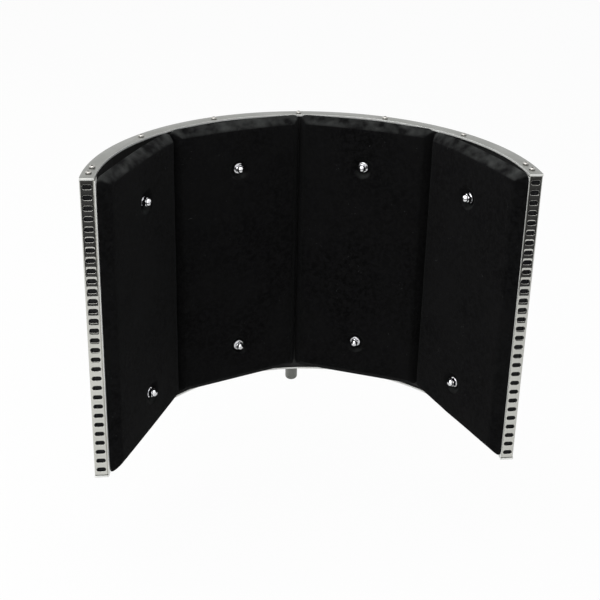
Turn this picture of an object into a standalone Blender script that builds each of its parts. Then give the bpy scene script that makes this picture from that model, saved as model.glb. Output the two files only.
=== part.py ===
"""Microphone reflection filter: a half round absorbing shell on a rear post, held by a stand clamp.

The world origin is on the axis of the stand tube, at the middle of the clamp's height.
+X runs across the shell, +Y from the open side to the back, +Z up. Lengths are in metres.
"""

import math

import bmesh
import bpy
from mathutils import Matrix, Vector

MM = 0.001
GAP = 0.3 * MM

# Shell: ring plates, end rails and the layers of the wall
SHELL_RADIUS = 207.5 * MM
SHELL_HEIGHT = 307.0 * MM
WALL_WIDTH = 13.0 * MM
RING_THICKNESS = 2.0 * MM
RAIL_FACE_Y = 3.0 * MM
RING_OVERHANG = 0.6 * MM
RAIL_SHEET = 1.0 * MM
RAIL_FLANGE = 12.0 * MM
RAIL_BEND = 1.6 * MM
SKIN_SHEET = 1.0 * MM
ARC_STEPS = 46

# Punched slots
SLOT_LENGTH = 9.0 * MM
SLOT_WIDTH = 4.6 * MM
RAIL_SLOT_PITCH = 10.0 * MM
RAIL_SLOT_MARGIN = 6.0 * MM
SKIN_SLOT_PITCH = 40.0 * MM
SKIN_SLOT_MARGIN = 24.0 * MM
SKIN_SLOT_EVERY = 2

# Tie bolts through both ring plates
TIE_RADIUS = 2.0 * MM
TIE_HEAD = 2.9 * MM
TIE_HEAD_HEIGHT = 1.7 * MM
TIE_SOCKET = 1.2 * MM
TIE_STEP = math.radians(26.55)
TIES_EACH_SIDE = 2
END_TIES_ANGLE = math.radians(83.45)
END_TIES_SPACING = 15.0 * MM

# Wooden battens: one behind the rear brackets, one behind each panel
REAR_BATTEN_MARGIN = 18.0 * MM
REAR_BATTEN_HALF_WIDTH = 26.0 * MM
PANEL_BATTEN_WIDTH = 16.0 * MM
PANEL_BATTEN_REACH = 17.0 * MM

# Absorber panels
PANEL_COUNT = 4
PANEL_BASE = 7.5 * MM
PANEL_RISE = 5.5 * MM
MIDDLE_PANEL_DROP = 5.5 * MM
PANEL_CLEARANCE = 1.0 * MM
PANEL_END_EXTRA = 4.9 * MM
PAD_THICKNESS = 10.0 * MM
PAD_BEVEL = 9.0 * MM
PAD_DIMPLE = 5.0 * MM
BOARD_THICKNESS = 2.5 * MM
BOARD_INSET = 0.5 * MM

# Panel bolts and their flanged dome nuts
BOLT_RADIUS = 2.5 * MM
BOLT_LOW = 54.5 * MM
BOLT_BELOW_TOP = 46.5 * MM
BOLT_HEAD = 5.0 * MM
BOLT_HEAD_HEIGHT = 2.8 * MM
NUT_FLANGE = 5.4 * MM
NUT_FLANGE_HEIGHT = 1.4 * MM
NUT_FLATS = 8.0 * MM
NUT_BASE = 5.0 * MM
NUT_DOME = 4.0 * MM

# Rear post and its two brackets
POST_RADIUS = 7.0 * MM
POST_STANDOFF = 16.5 * MM
POST_BELOW_SHELL = 29.0 * MM
POST_SHORT_OF_TOP = 10.0 * MM
POST_ROUNDING = 3.5 * MM
BRACKET_HEIGHT = 18.0 * MM
BRACKET_MARGIN = 30.0 * MM
BRACKET_NOSE = 12.0 * MM
BRACKET_HALF_WIDTH = 27.0 * MM
BRACKET_EAR = 6.0 * MM
BRACKET_SCREW_X = 20.0 * MM
BRACKET_SCREW_RADIUS = 2.2 * MM
BRACKET_SCREW_HEAD = 4.2 * MM
BRACKET_SCREW_HEAD_HEIGHT = 2.6 * MM

# Stand clamp: split block, bush, lever and jaw, measured from the post's axis
BLOCK_HEIGHT = 36.0 * MM
BUSH_WALL = 2.7 * MM
BUSH_FLANGE = 2.0 * MM
BUSH_FLANGE_RADIUS = 13.0 * MM
BUSH_SPLIT = 2.0 * MM
BLOCK_WALL = 4.2 * MM
BLOCK_SLIT = 3.0 * MM
BLOCK_SLIT_END = 27.0 * MM
PINCH_SETBACK = 19.0 * MM
PINCH_RADIUS = 3.0 * MM
PINCH_HEAD_FLATS = 10.0 * MM
PINCH_HEAD_HEIGHT = 4.0 * MM
SEAT_SETBACK = 44.0 * MM
SEAT_DEPTH = 10.0 * MM
SEAT_SHOULDER = 18.0 * MM
STAND_RADIUS = 12.5 * MM
SPINE_INNER = 17.5 * MM
SPINE_THICKNESS = 8.5 * MM
THROAT = 38.0 * MM
ARM_THICKNESS = 14.0 * MM
ARM_HALF_WIDTH = 14.0 * MM
JAW_TRAVEL = 20.0 * MM
JAW_SIDE = 22.0 * MM
JAW_THICKNESS = 5.0 * MM
JAW_FACE_THICKNESS = 2.0 * MM
JAW_REST_GAP = 2.2 * MM
JAW_SCREW_RADIUS = 5.0 * MM
JAW_TIP_RADIUS = 3.0 * MM
JAW_TIP_LENGTH = 2.5 * MM
KNOB_RADIUS = 18.0 * MM
KNOB_LOBES = 6
KNOB_LOBE_DEPTH = 2.2 * MM
KNOB_THICKNESS = 20.0 * MM
LEVER_HUB_RADIUS = 7.0 * MM
LEVER_HUB_LENGTH = 12.0 * MM
LEVER_LENGTH = 48.0 * MM
LEVER_ROD = 3.4 * MM
LEVER_TIP = 4.6 * MM
LEVER_SPLAY = math.radians(12.0)

# Places that follow from the sizes above
RING_INNER = SHELL_RADIUS - WALL_WIDTH
POST_SETBACK = SHELL_RADIUS + POST_STANDOFF
POST_LOW = -POST_BELOW_SHELL
POST_HIGH = SHELL_HEIGHT - POST_SHORT_OF_TOP
CLAMP_AT_HEIGHT = SHELL_HEIGHT / 2
PANEL_HEIGHT = SHELL_HEIGHT + PANEL_RISE - PANEL_BASE
RAIL_SLOTS = int((SHELL_HEIGHT - 2 * RAIL_SLOT_MARGIN) / RAIL_SLOT_PITCH) + 1
SKIN_SLOT_ROWS = int((SHELL_HEIGHT - 2 * SKIN_SLOT_MARGIN) / SKIN_SLOT_PITCH) + 1
RAIL_LOW = RING_THICKNESS + GAP
RAIL_HIGH = SHELL_HEIGHT - RING_THICKNESS - GAP
RAIL_BACK_Y = RAIL_FACE_Y + RAIL_FLANGE
OUTER_SKIN_FACE = SHELL_RADIUS - RAIL_SHEET - GAP
OUTER_SKIN_BACK = OUTER_SKIN_FACE - SKIN_SHEET
INNER_SKIN_FACE = math.hypot(RING_INNER + RAIL_SHEET + GAP, RAIL_BACK_Y)
INNER_SKIN_BACK = INNER_SKIN_FACE + SKIN_SHEET
MAT_INNER = INNER_SKIN_BACK + GAP
MAT_OUTER = OUTER_SKIN_BACK - GAP
LAYER_MIDDLE = (MAT_INNER + MAT_OUTER) / 2
LAYER_HALF_ANGLE = math.acos((RAIL_FACE_Y + RAIL_SHEET + 2 * GAP) / MAT_INNER)
RING_HALF_ANGLE = math.acos((RAIL_FACE_Y - RING_OVERHANG) / LAYER_MIDDLE)
PANEL_STEP = math.pi / PANEL_COUNT
BOARD_BACK = (RING_INNER - PANEL_CLEARANCE) * math.cos(PANEL_STEP / 2)
BOARD_FRONT = BOARD_BACK - BOARD_THICKNESS
PAD_BACK = BOARD_FRONT - GAP
PAD_FACE = PAD_BACK - PAD_THICKNESS
PAD_HALF_WIDTH = (PAD_FACE + PAD_BEVEL) * math.tan(PANEL_STEP / 2) - GAP / math.cos(PANEL_STEP / 2)
PANEL_TURNS = [(index - (PANEL_COUNT - 1) / 2) * PANEL_STEP for index in range(PANEL_COUNT)]
BOLT_HEIGHTS = (BOLT_LOW, SHELL_HEIGHT - BOLT_BELOW_TOP)
BRACKET_CENTRES = (BRACKET_MARGIN, SHELL_HEIGHT - BRACKET_MARGIN)
END_TIE_LEAN = math.atan2(END_TIES_SPACING / 2, LAYER_MIDDLE)
TIE_TURNS = [step * TIE_STEP for step in range(-TIES_EACH_SIDE, TIES_EACH_SIDE + 1)]
TIE_TURNS += [side * END_TIES_ANGLE + step * END_TIE_LEAN for side in (-1, 1) for step in (-1, 1)]
SEAT_APEX = SEAT_SETBACK - SEAT_DEPTH
STAND_SETBACK = SEAT_APEX + STAND_RADIUS * math.sqrt(2)
BUSH_RADIUS = POST_RADIUS + GAP + BUSH_WALL
BLOCK_NOSE = BUSH_RADIUS + GAP + BLOCK_WALL
ARM_FRONT = SEAT_SETBACK + THROAT
ARM_BACK = ARM_FRONT + ARM_THICKNESS
JAW_BACK = ARM_FRONT - JAW_REST_GAP
KNOB_FRONT = ARM_BACK + JAW_TRAVEL + 2 * MM

PARTS = None
CUTTERS = None


def clear_scene():
    """Empty the scene and make the two collections."""
    for thing in list(bpy.data.objects):
        bpy.data.objects.remove(thing, do_unlink=True)
    global PARTS, CUTTERS
    PARTS = bpy.data.collections.new("reflection_filter")
    CUTTERS = bpy.data.collections.new("reflection_filter_cutters")
    bpy.context.scene.collection.children.link(PARTS)
    bpy.context.scene.collection.children.link(CUTTERS)


def finish(name, colour, roughness, metallic):
    """A plain Principled material."""
    made = bpy.data.materials.new(name)
    made.use_nodes = True
    shader = made.node_tree.nodes["Principled BSDF"]
    shader.inputs["Base Color"].default_value = (*colour, 1.0)
    shader.inputs["Roughness"].default_value = roughness
    shader.inputs["Metallic"].default_value = metallic
    return made


def empty(name, location, parent=None):
    """A guide that carries the pieces of one body."""
    guide = bpy.data.objects.new(name, None)
    guide.location = location
    guide.parent = parent
    PARTS.objects.link(guide)
    return guide


def piece(name, mesh, look, parent, smooth=False, place=None):
    """One named part of the object."""
    mesh.materials.clear()
    mesh.materials.append(look)
    if smooth:
        mesh.shade_smooth()
        mesh.set_sharp_from_angle(angle=math.radians(35))
    made = bpy.data.objects.new(name, mesh)
    made.parent = parent
    if place is not None:
        made.matrix_basis = place
    PARTS.objects.link(made)
    return made


def pieces(name, mesh, look, parent, places, smooth=False):
    """A repeated part: one numbered object in each place, all sharing one mesh."""
    for number, place in enumerate(places, 1):
        piece(f"{name}_{number}", mesh, look, parent, smooth, place)


def cutter(name, mesh, parent):
    """A guide solid that is taken away from a piece."""
    made = bpy.data.objects.new(name, mesh)
    made.parent = parent
    made.hide_render = True
    made.display_type = "WIRE"
    CUTTERS.objects.link(made)
    return made


def boolean(target, tool, operation="DIFFERENCE"):
    """Cut or join with an exact Boolean modifier."""
    change = target.modifiers.new(tool.name, "BOOLEAN")
    change.operation = operation
    change.solver = "EXACT"
    change.object = tool


def settled(source):
    """The evaluated mesh of a scratch object, which is then removed."""
    bpy.context.view_layer.update()
    graph = bpy.context.evaluated_depsgraph_get()
    mesh = bpy.data.meshes.new_from_object(source.evaluated_get(graph))
    bpy.data.objects.remove(source, do_unlink=True)
    return mesh


def scratch(mesh):
    """A scratch object for a mesh that still needs modifiers."""
    made = bpy.data.objects.new("scratch", mesh)
    CUTTERS.objects.link(made)
    return made


def from_bmesh(shape):
    """A mesh from a bmesh, which is freed."""
    mesh = bpy.data.meshes.new("shape")
    shape.to_mesh(mesh)
    shape.free()
    return mesh


def box(low, high):
    """A box between two corners."""
    shape = bmesh.new()
    bmesh.ops.create_cube(shape, size=1.0)
    low = Vector(low)
    high = Vector(high)
    place = Matrix.Translation((low + high) / 2) @ Matrix.Diagonal((*(high - low), 1.0))
    bmesh.ops.transform(shape, matrix=place, verts=shape.verts)
    return from_bmesh(shape)


def cylinder(radius, low, high, steps=12, top_radius=None):
    """A cylinder or cone along Z between two heights."""
    shape = bmesh.new()
    bmesh.ops.create_cone(
        shape,
        cap_ends=True,
        segments=steps,
        radius1=radius,
        radius2=radius if top_radius is None else top_radius,
        depth=high - low,
        matrix=Matrix.Translation((0, 0, (low + high) / 2)),
    )
    return from_bmesh(shape)


def hexagon(flats, low, high):
    """A hexagonal prism along Z."""
    return cylinder(flats / math.sqrt(3), low, high, 6)


def profile_mesh(points, closed):
    """A line of points in the XZ plane."""
    shape = bmesh.new()
    line = [shape.verts.new((x, 0, z)) for x, z in points]
    for first, second in zip(line, line[1:]):
        shape.edges.new((first, second))
    if closed:
        shape.edges.new((line[-1], line[0]))
    return from_bmesh(shape)


def turned(points, steps=12, closed=False):
    """A profile turned about Z. It runs down its outer side."""
    source = scratch(profile_mesh(points, closed))
    turn = source.modifiers.new("turn", "SCREW")
    turn.steps = steps
    turn.render_steps = steps
    turn.use_merge_vertices = True
    turn.merge_threshold = 0.00001
    turn.use_smooth_shade = False
    return settled(source)


def arc(centre, radius, start, end, steps):
    """Points on an arc, angles from +X towards +Y."""
    turns = [start + (end - start) * step / steps for step in range(steps + 1)]
    return [(centre[0] + radius * math.cos(t), centre[1] + radius * math.sin(t)) for t in turns]


def circle(centre, radius, steps=12):
    """Points of a whole circle."""
    return arc(centre, radius, 0, math.tau, steps)[:-1]


def prism(outlines, low, high):
    """A flat outline, with holes as further outlines, extruded along Z."""
    flat = bpy.data.curves.new("outline", "CURVE")
    flat.dimensions = "2D"
    flat.fill_mode = "BOTH"
    flat.extrude = (high - low) / 2
    for outline in outlines:
        spline = flat.splines.new("POLY")
        spline.points.add(len(outline) - 1)
        for point, (x, y) in zip(spline.points, outline):
            point.co = (x, y, 0, 1)
        spline.use_cyclic_u = True
    mesh = settled(scratch(flat))
    shape = bmesh.new()
    shape.from_mesh(mesh)
    bmesh.ops.remove_doubles(shape, verts=shape.verts, dist=0.00001)
    bmesh.ops.translate(shape, verts=shape.verts, vec=(0, 0, (low + high) / 2))
    bmesh.ops.recalc_face_normals(shape, faces=shape.faces)
    shape.to_mesh(mesh)
    shape.free()
    return mesh


def copies(mesh, places):
    """Copies of one mesh in one cutter."""
    shape = bmesh.new()
    for place in places:
        before = len(shape.verts)
        shape.from_mesh(mesh)
        shape.verts.ensure_lookup_table()
        bmesh.ops.transform(shape, matrix=place, verts=shape.verts[before:])
    return from_bmesh(shape)


def around(turn):
    """Turn from the back of the arc towards +X, with Y pointing outwards."""
    return Matrix.Rotation(-turn, 4, "Z")


def outward(turn, radius, height):
    """Place a piece on the arc with its Z pointing outwards."""
    return around(turn) @ Matrix.Translation((0, radius, height)) @ Matrix.Rotation(-math.pi / 2, 4, "X")


def inward(turn, radius, height):
    """Place a piece on the arc with its Z pointing at the arc's axis."""
    return around(turn) @ Matrix.Translation((0, radius, height)) @ Matrix.Rotation(math.pi / 2, 4, "X")


def on_arc(turn, radius, height):
    """Place an upright piece on the arc."""
    return around(turn) @ Matrix.Translation((0, radius, height))


def slot_outline(length, width):
    """The outline of a slot with rounded ends, long side along X."""
    straight = (length - width) / 2
    right = arc((straight, 0), width / 2, -math.pi / 2, math.pi / 2, 3)
    left = arc((-straight, 0), width / 2, math.pi / 2, 3 * math.pi / 2, 3)
    return right + left


def lozenge(length, width):
    """A lighter slot outline, six points."""
    straight = (length - width) / 2
    return [(length / 2, 0), (straight, width / 2), (-straight, width / 2),
            (-length / 2, 0), (-straight, -width / 2), (straight, -width / 2)]


def bolt_places(place, distance):
    """One place for each panel bolt, at a distance from the arc's axis."""
    return [place(turn, distance, height) for turn in PANEL_TURNS for height in BOLT_HEIGHTS]


def wall_sheet(name, inner, outer, look, arc_centre):
    """A curved layer of the wall: a line turned through the arc and given a thickness."""
    middle = (inner + outer) / 2
    start = Vector((-middle * math.sin(LAYER_HALF_ANGLE), middle * math.cos(LAYER_HALF_ANGLE), 0))
    shape = bmesh.new()
    low = shape.verts.new((start.x, start.y, RAIL_LOW))
    high = shape.verts.new((start.x, start.y, RAIL_HIGH))
    shape.edges.new((high, low))
    sheet = piece(name, from_bmesh(shape), look, arc_centre)
    sweep = sheet.modifiers.new("arc", "SCREW")
    sweep.angle = -2 * LAYER_HALF_ANGLE
    sweep.steps = ARC_STEPS
    sweep.render_steps = ARC_STEPS
    sweep.use_smooth_shade = False
    thicken = sheet.modifiers.new("sheet", "SOLIDIFY")
    thicken.thickness = outer - inner
    thicken.offset = 0
    return sheet


def bolt_holes(arc_centre):
    """One cutter for the holes of all the panel bolts, through the wall and the panels."""
    drill = cylinder(BOLT_RADIUS + GAP, PAD_FACE - 5 * MM, SHELL_RADIUS + 5 * MM, 8)
    return cutter("bolt_holes", copies(drill, bolt_places(outward, 0)), arc_centre)


def near_fixing(turn, height):
    """Whether a slot would meet a bolt or a bracket."""
    across_reach = BOLT_HEAD + SLOT_LENGTH
    up_reach = BOLT_HEAD + SLOT_WIDTH
    for bolt_turn in PANEL_TURNS:
        across = abs(turn - bolt_turn) * OUTER_SKIN_FACE
        if across < across_reach and any(abs(height - bolt) < up_reach for bolt in BOLT_HEIGHTS):
            return True
    over_bracket = abs(turn) * OUTER_SKIN_FACE < BRACKET_HALF_WIDTH + SLOT_LENGTH
    reach = BRACKET_HEIGHT / 2 + SLOT_WIDTH
    return over_bracket and any(abs(height - centre) < reach for centre in BRACKET_CENTRES)


def skin_slots(arc_centre):
    """The punched slots of the outer skin: staggered columns, each in the middle of a facet."""
    punch = prism([lozenge(SLOT_LENGTH, SLOT_WIDTH)], -3 * MM, 3 * MM)
    facet = 2 * LAYER_HALF_ANGLE / ARC_STEPS
    places = []
    for column, station in enumerate(range(1, ARC_STEPS - 1, SKIN_SLOT_EVERY)):
        turn = -LAYER_HALF_ANGLE + (station + 0.5) * facet
        rows = SKIN_SLOT_ROWS - column % 2
        first = SHELL_HEIGHT / 2 - (rows - 1) * SKIN_SLOT_PITCH / 2
        for row in range(rows):
            height = first + row * SKIN_SLOT_PITCH
            if not near_fixing(turn, height):
                places.append(outward(turn, (OUTER_SKIN_FACE + OUTER_SKIN_BACK) / 2, height))
    return cutter("skin_slots", copies(punch, places), arc_centre)


def bracket_screw_places():
    """One place for each bracket screw, with Z pointing to the back."""
    lie_back = Matrix.Rotation(-math.pi / 2, 4, "X")
    return [
        Matrix.Translation((side * BRACKET_SCREW_X, 0, height)) @ lie_back
        for height in BRACKET_CENTRES
        for side in (-1, 1)
    ]


def wall_layers(arc_centre, looks):
    """Outer skin, wool mat and inner skin with their slots and holes, and the rear batten."""
    holes = bolt_holes(arc_centre)
    drill = cylinder(BRACKET_SCREW_RADIUS + GAP, bracket_screw_end() - GAP, POST_SETBACK, 8)
    bracket_holes = cutter("bracket_screw_holes", copies(drill, bracket_screw_places()), arc_centre)

    outer = wall_sheet("outer_skin", OUTER_SKIN_BACK, OUTER_SKIN_FACE, looks["punched"], arc_centre)
    boolean(outer, skin_slots(arc_centre))
    boolean(outer, holes)
    boolean(outer, bracket_holes)

    mat = wall_sheet("wool_mat", MAT_INNER, MAT_OUTER, looks["wool"], arc_centre)
    boolean(mat, holes)
    channel = cylinder(TIE_RADIUS + GAP, 0, SHELL_HEIGHT, 8)
    half_facet = Matrix.Rotation(math.pi / 8, 4, "Z")
    channels = [on_arc(turn, LAYER_MIDDLE, 0) @ half_facet for turn in TIE_TURNS]
    boolean(mat, cutter("tie_channels", copies(channel, channels), arc_centre))
    reach = REAR_BATTEN_HALF_WIDTH + GAP
    margin = REAR_BATTEN_MARGIN - GAP
    window = box((-reach, 0, margin), (reach, SHELL_RADIUS, SHELL_HEIGHT - margin))
    boolean(mat, cutter("batten_window", window, arc_centre))

    inner = wall_sheet("inner_skin", INNER_SKIN_FACE, INNER_SKIN_BACK, looks["punched"], arc_centre)
    boolean(inner, holes)

    batten_mesh = prism([rear_batten_outline()], REAR_BATTEN_MARGIN, SHELL_HEIGHT - REAR_BATTEN_MARGIN)
    batten = piece("rear_batten", batten_mesh, looks["wood"], arc_centre)
    boolean(batten, bracket_holes)
    return holes, bracket_holes


def rear_batten_outline():
    """The batten inside the back of the wall, with a groove for the middle tie bolt."""
    outer = math.asin(REAR_BATTEN_HALF_WIDTH / MAT_OUTER)
    inner = math.asin(REAR_BATTEN_HALF_WIDTH / MAT_INNER)
    groove = TIE_RADIUS + GAP
    edge = math.acos(groove / MAT_INNER)
    middle = math.pi / 2
    outline = arc((0, 0), MAT_OUTER, middle + outer, middle - outer, 10)
    outline += arc((0, 0), MAT_INNER, middle - inner, edge, 5)
    outline += [(groove, LAYER_MIDDLE + groove), (-groove, LAYER_MIDDLE + groove)]
    outline += arc((0, 0), MAT_INNER, math.pi - edge, middle + inner, 5)
    return outline


def ring_plates(arc_centre, look):
    """The flat curved plates that close the wall at the top and the bottom."""
    start = math.pi / 2 - RING_HALF_ANGLE
    end = math.pi / 2 + RING_HALF_ANGLE
    outline = arc((0, 0), SHELL_RADIUS, start, end, ARC_STEPS)
    outline += arc((0, 0), RING_INNER, end, start, ARC_STEPS)
    holes = [
        circle((LAYER_MIDDLE * math.sin(turn), LAYER_MIDDLE * math.cos(turn)), TIE_RADIUS + GAP, 8)
        for turn in TIE_TURNS
    ]
    piece("bottom_ring", prism([outline, *holes], 0, RING_THICKNESS), look, arc_centre)
    upper = Matrix.Translation((0, 0, SHELL_HEIGHT - RING_THICKNESS))
    piece("top_ring", prism([outline, *holes], 0, RING_THICKNESS), look, arc_centre, place=upper)


def tie_bolts(arc_centre, look):
    """Long button-head bolts from the top plate into threads in the bottom plate."""
    crown = TIE_HEAD_HEIGHT
    bolt = turned(
        [
            (0, crown * 0.45),
            (TIE_SOCKET, crown * 0.45),
            (TIE_SOCKET, crown),
            (TIE_HEAD * 0.68, crown),
            (TIE_HEAD, 0),
            (TIE_RADIUS, 0),
            (TIE_RADIUS, -SHELL_HEIGHT - GAP),
            (0, -SHELL_HEIGHT - GAP),
        ],
        8,
    )
    places = [on_arc(turn, LAYER_MIDDLE, SHELL_HEIGHT + GAP) for turn in TIE_TURNS]
    pieces("tie_bolt", bolt, look, arc_centre, places, smooth=True)


def rail_section():
    """The folded channel of the right end rail, seen from above."""
    outer_bend = RAIL_BEND
    inner_bend = RAIL_BEND - RAIL_SHEET
    left = RING_INNER
    right = SHELL_RADIUS
    front = RAIL_FACE_Y
    corner_left = (left + outer_bend, front + outer_bend)
    corner_right = (right - outer_bend, front + outer_bend)
    quarter = math.pi / 2
    outline = [(left, RAIL_BACK_Y)]
    outline += arc(corner_left, outer_bend, 2 * quarter, 3 * quarter, 3)
    outline += arc(corner_right, outer_bend, 3 * quarter, 4 * quarter, 3)
    outline += [(right, RAIL_BACK_Y), (right - RAIL_SHEET, RAIL_BACK_Y)]
    outline += arc(corner_right, inner_bend, 4 * quarter, 3 * quarter, 2)
    outline += arc(corner_left, inner_bend, 3 * quarter, 2 * quarter, 2)
    outline += [(left + RAIL_SHEET, RAIL_BACK_Y)]
    return outline


def end_rails(arc_centre, look):
    """The slotted channels that close the two ends of the wall."""
    punch = prism([slot_outline(SLOT_LENGTH, SLOT_WIDTH)], -3 * MM, 3 * MM)
    middle = (RING_INNER + SHELL_RADIUS) / 2
    first = SHELL_HEIGHT / 2 - (RAIL_SLOTS - 1) * RAIL_SLOT_PITCH / 2
    stand_up = Matrix.Rotation(math.pi / 2, 4, "X")
    spots = [
        Matrix.Translation((middle, RAIL_FACE_Y, first + index * RAIL_SLOT_PITCH)) @ stand_up
        for index in range(RAIL_SLOTS)
    ]
    right_slots = copies(punch, spots)
    right = piece("right_end_rail", prism([rail_section()], RAIL_LOW, RAIL_HIGH), look, arc_centre)
    boolean(right, cutter("right_rail_slots", right_slots, arc_centre))

    across = Matrix.Translation((-2 * middle, 0, 0))
    left_section = [(-x, y) for x, y in reversed(rail_section())]
    left = piece("left_end_rail", prism([left_section], RAIL_LOW, RAIL_HIGH), look, arc_centre)
    boolean(left, cutter("left_rail_slots", copies(right_slots, [across]), arc_centre))


def pad_mesh(left, right, height):
    """A flat pad with a wide bevel round its face. Y points outwards, the face is at PAD_FACE."""
    mesh = box((-left, PAD_FACE, 0), (right, PAD_BACK, height))
    shape = bmesh.new()
    shape.from_mesh(mesh)
    face_edges = [edge for edge in shape.edges if all(vert.co.y < PAD_FACE + GAP for vert in edge.verts)]
    bmesh.ops.bevel(shape, geom=face_edges, offset=PAD_BEVEL, segments=1, affect="EDGES")
    shape.to_mesh(mesh)
    shape.free()
    return mesh


def absorber_panels(arc_centre, holes, looks):
    """Four pads on their boards, standing as chords inside the arc on upright battens."""
    dish_floor = NUT_FLANGE + 1.5 * MM
    dish = cylinder(NUT_FLANGE + PAD_DIMPLE, -GAP, PAD_DIMPLE, 12, dish_floor)
    dimples = cutter("nut_dimples", copies(dish, bolt_places(outward, PAD_FACE)), arc_centre)
    half = PANEL_BATTEN_WIDTH / 2
    facet_sag = INNER_SKIN_FACE * (1 - math.cos(LAYER_HALF_ANGLE / ARC_STEPS))
    batten_back = math.sqrt((INNER_SKIN_FACE - facet_sag) ** 2 - half ** 2) - GAP
    for number, turn in enumerate(PANEL_TURNS, 1):
        left = PAD_HALF_WIDTH + (PANEL_END_EXTRA if number == 1 else 0)
        right = PAD_HALF_WIDTH + (PANEL_END_EXTRA if number == PANEL_COUNT else 0)
        height = PANEL_HEIGHT - (0 if number in (1, PANEL_COUNT) else MIDDLE_PANEL_DROP)
        stand = on_arc(turn, 0, PANEL_BASE)
        felt = pad_mesh(left, right, height)
        pad = piece(f"absorber_pad_{number}", felt, looks["felt"], arc_centre, place=stand)
        boolean(pad, dimples)
        boolean(pad, holes)
        flat = box(
            (BOARD_INSET - left, BOARD_FRONT, BOARD_INSET),
            (right - BOARD_INSET, BOARD_BACK, height - BOARD_INSET),
        )
        board = piece(f"panel_board_{number}", flat, looks["board"], arc_centre, place=stand)
        boolean(board, holes)
        strip = box(
            (-half, BOARD_BACK + GAP, BOLT_HEIGHTS[0] - PANEL_BATTEN_REACH),
            (half, batten_back, BOLT_HEIGHTS[1] + PANEL_BATTEN_REACH),
        )
        upright = on_arc(turn, 0, 0)
        batten = piece(f"panel_batten_{number}", strip, looks["wood"], arc_centre, place=upright)
        boolean(batten, holes)


def dome_nut():
    """A flanged hexagon nut with a closed dome, its seat at Z = 0."""
    nut = scratch(hexagon(NUT_FLATS, NUT_FLANGE_HEIGHT / 2, NUT_BASE))
    radius = NUT_FLATS / 2 - GAP
    rise = [
        (radius * math.sin(turn), NUT_BASE + NUT_DOME * math.cos(turn))
        for turn in (0, math.pi / 6, math.pi / 3, math.pi / 2)
    ]
    dome = cutter("dome", turned([*rise, (radius, NUT_BASE / 2), (0, NUT_BASE / 2)], 12), None)
    boolean(nut, dome, "UNION")
    flange = cutter("flange", cylinder(NUT_FLANGE, 0, NUT_FLANGE_HEIGHT, 12), None)
    boolean(nut, flange, "UNION")
    bore = cutter("nut_bore", cylinder(BOLT_RADIUS + GAP, -NUT_BASE, NUT_BASE + NUT_DOME / 2, 8), None)
    boolean(nut, bore)
    mesh = settled(nut)
    for tool in (dome, flange, bore):
        bpy.data.objects.remove(tool, do_unlink=True)
    return mesh


def panel_fixings(arc_centre, looks):
    """Bolts through the wall and the panels, and the dome nuts in front."""
    nut_seat = PAD_FACE + PAD_DIMPLE - GAP
    head_seat = OUTER_SKIN_FACE + GAP
    shank = head_seat - nut_seat + NUT_BASE
    bolt = turned(
        [
            (0, BOLT_HEAD_HEIGHT * 0.5),
            (BOLT_HEAD * 0.35, BOLT_HEAD_HEIGHT * 0.5),
            (BOLT_HEAD * 0.35, BOLT_HEAD_HEIGHT),
            (BOLT_HEAD * 0.65, BOLT_HEAD_HEIGHT),
            (BOLT_HEAD, BOLT_HEAD_HEIGHT * 0.3),
            (BOLT_HEAD, 0),
            (BOLT_RADIUS, 0),
            (BOLT_RADIUS, -shank),
            (0, -shank),
        ],
        8,
    )
    pieces("panel_bolt", bolt, looks["chrome"], arc_centre, bolt_places(outward, head_seat), smooth=True)
    pieces("dome_nut", dome_nut(), looks["chrome"], arc_centre, bolt_places(inward, nut_seat))


def rear_post(arc_centre, look):
    """The round post behind the shell, with rounded ends."""
    flat = POST_RADIUS - POST_ROUNDING
    turns = (0, math.pi / 6, math.pi / 3, math.pi / 2)
    top = [
        (flat + POST_ROUNDING * math.sin(turn), POST_HIGH - POST_ROUNDING * (1 - math.cos(turn)))
        for turn in turns
    ]
    bottom = [
        (flat + POST_ROUNDING * math.sin(turn), POST_LOW + POST_ROUNDING * (1 - math.cos(turn)))
        for turn in reversed(turns)
    ]
    post = turned([(0, POST_HIGH), *top, *bottom, (0, POST_LOW)], 24)
    piece("rear_post", post, look, arc_centre, True, Matrix.Translation((0, POST_SETBACK, 0)))


def ear_back():
    """Y of the flat back of a bracket's ears."""
    return OUTER_SKIN_FACE + GAP + BRACKET_EAR


def bracket_screw_end():
    """Y of the inner end of a bracket screw, inside the rear batten."""
    return MAT_INNER + GAP


def bracket_outline():
    """A bracket seen from above: a curved foot on the shell and a nose round the post."""
    seat = OUTER_SKIN_FACE + GAP
    reach = math.asin(BRACKET_HALF_WIDTH / seat)
    quarter = math.pi / 2
    outline = arc((0, 0), seat, quarter + reach, quarter - reach, 8)
    back = ear_back()
    outline += [(BRACKET_HALF_WIDTH, back), (BRACKET_NOSE, back)]
    outline += arc((0, POST_SETBACK), BRACKET_NOSE, 0, math.pi, 12)
    outline += [(-BRACKET_NOSE, back), (-BRACKET_HALF_WIDTH, back)]
    return outline


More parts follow.
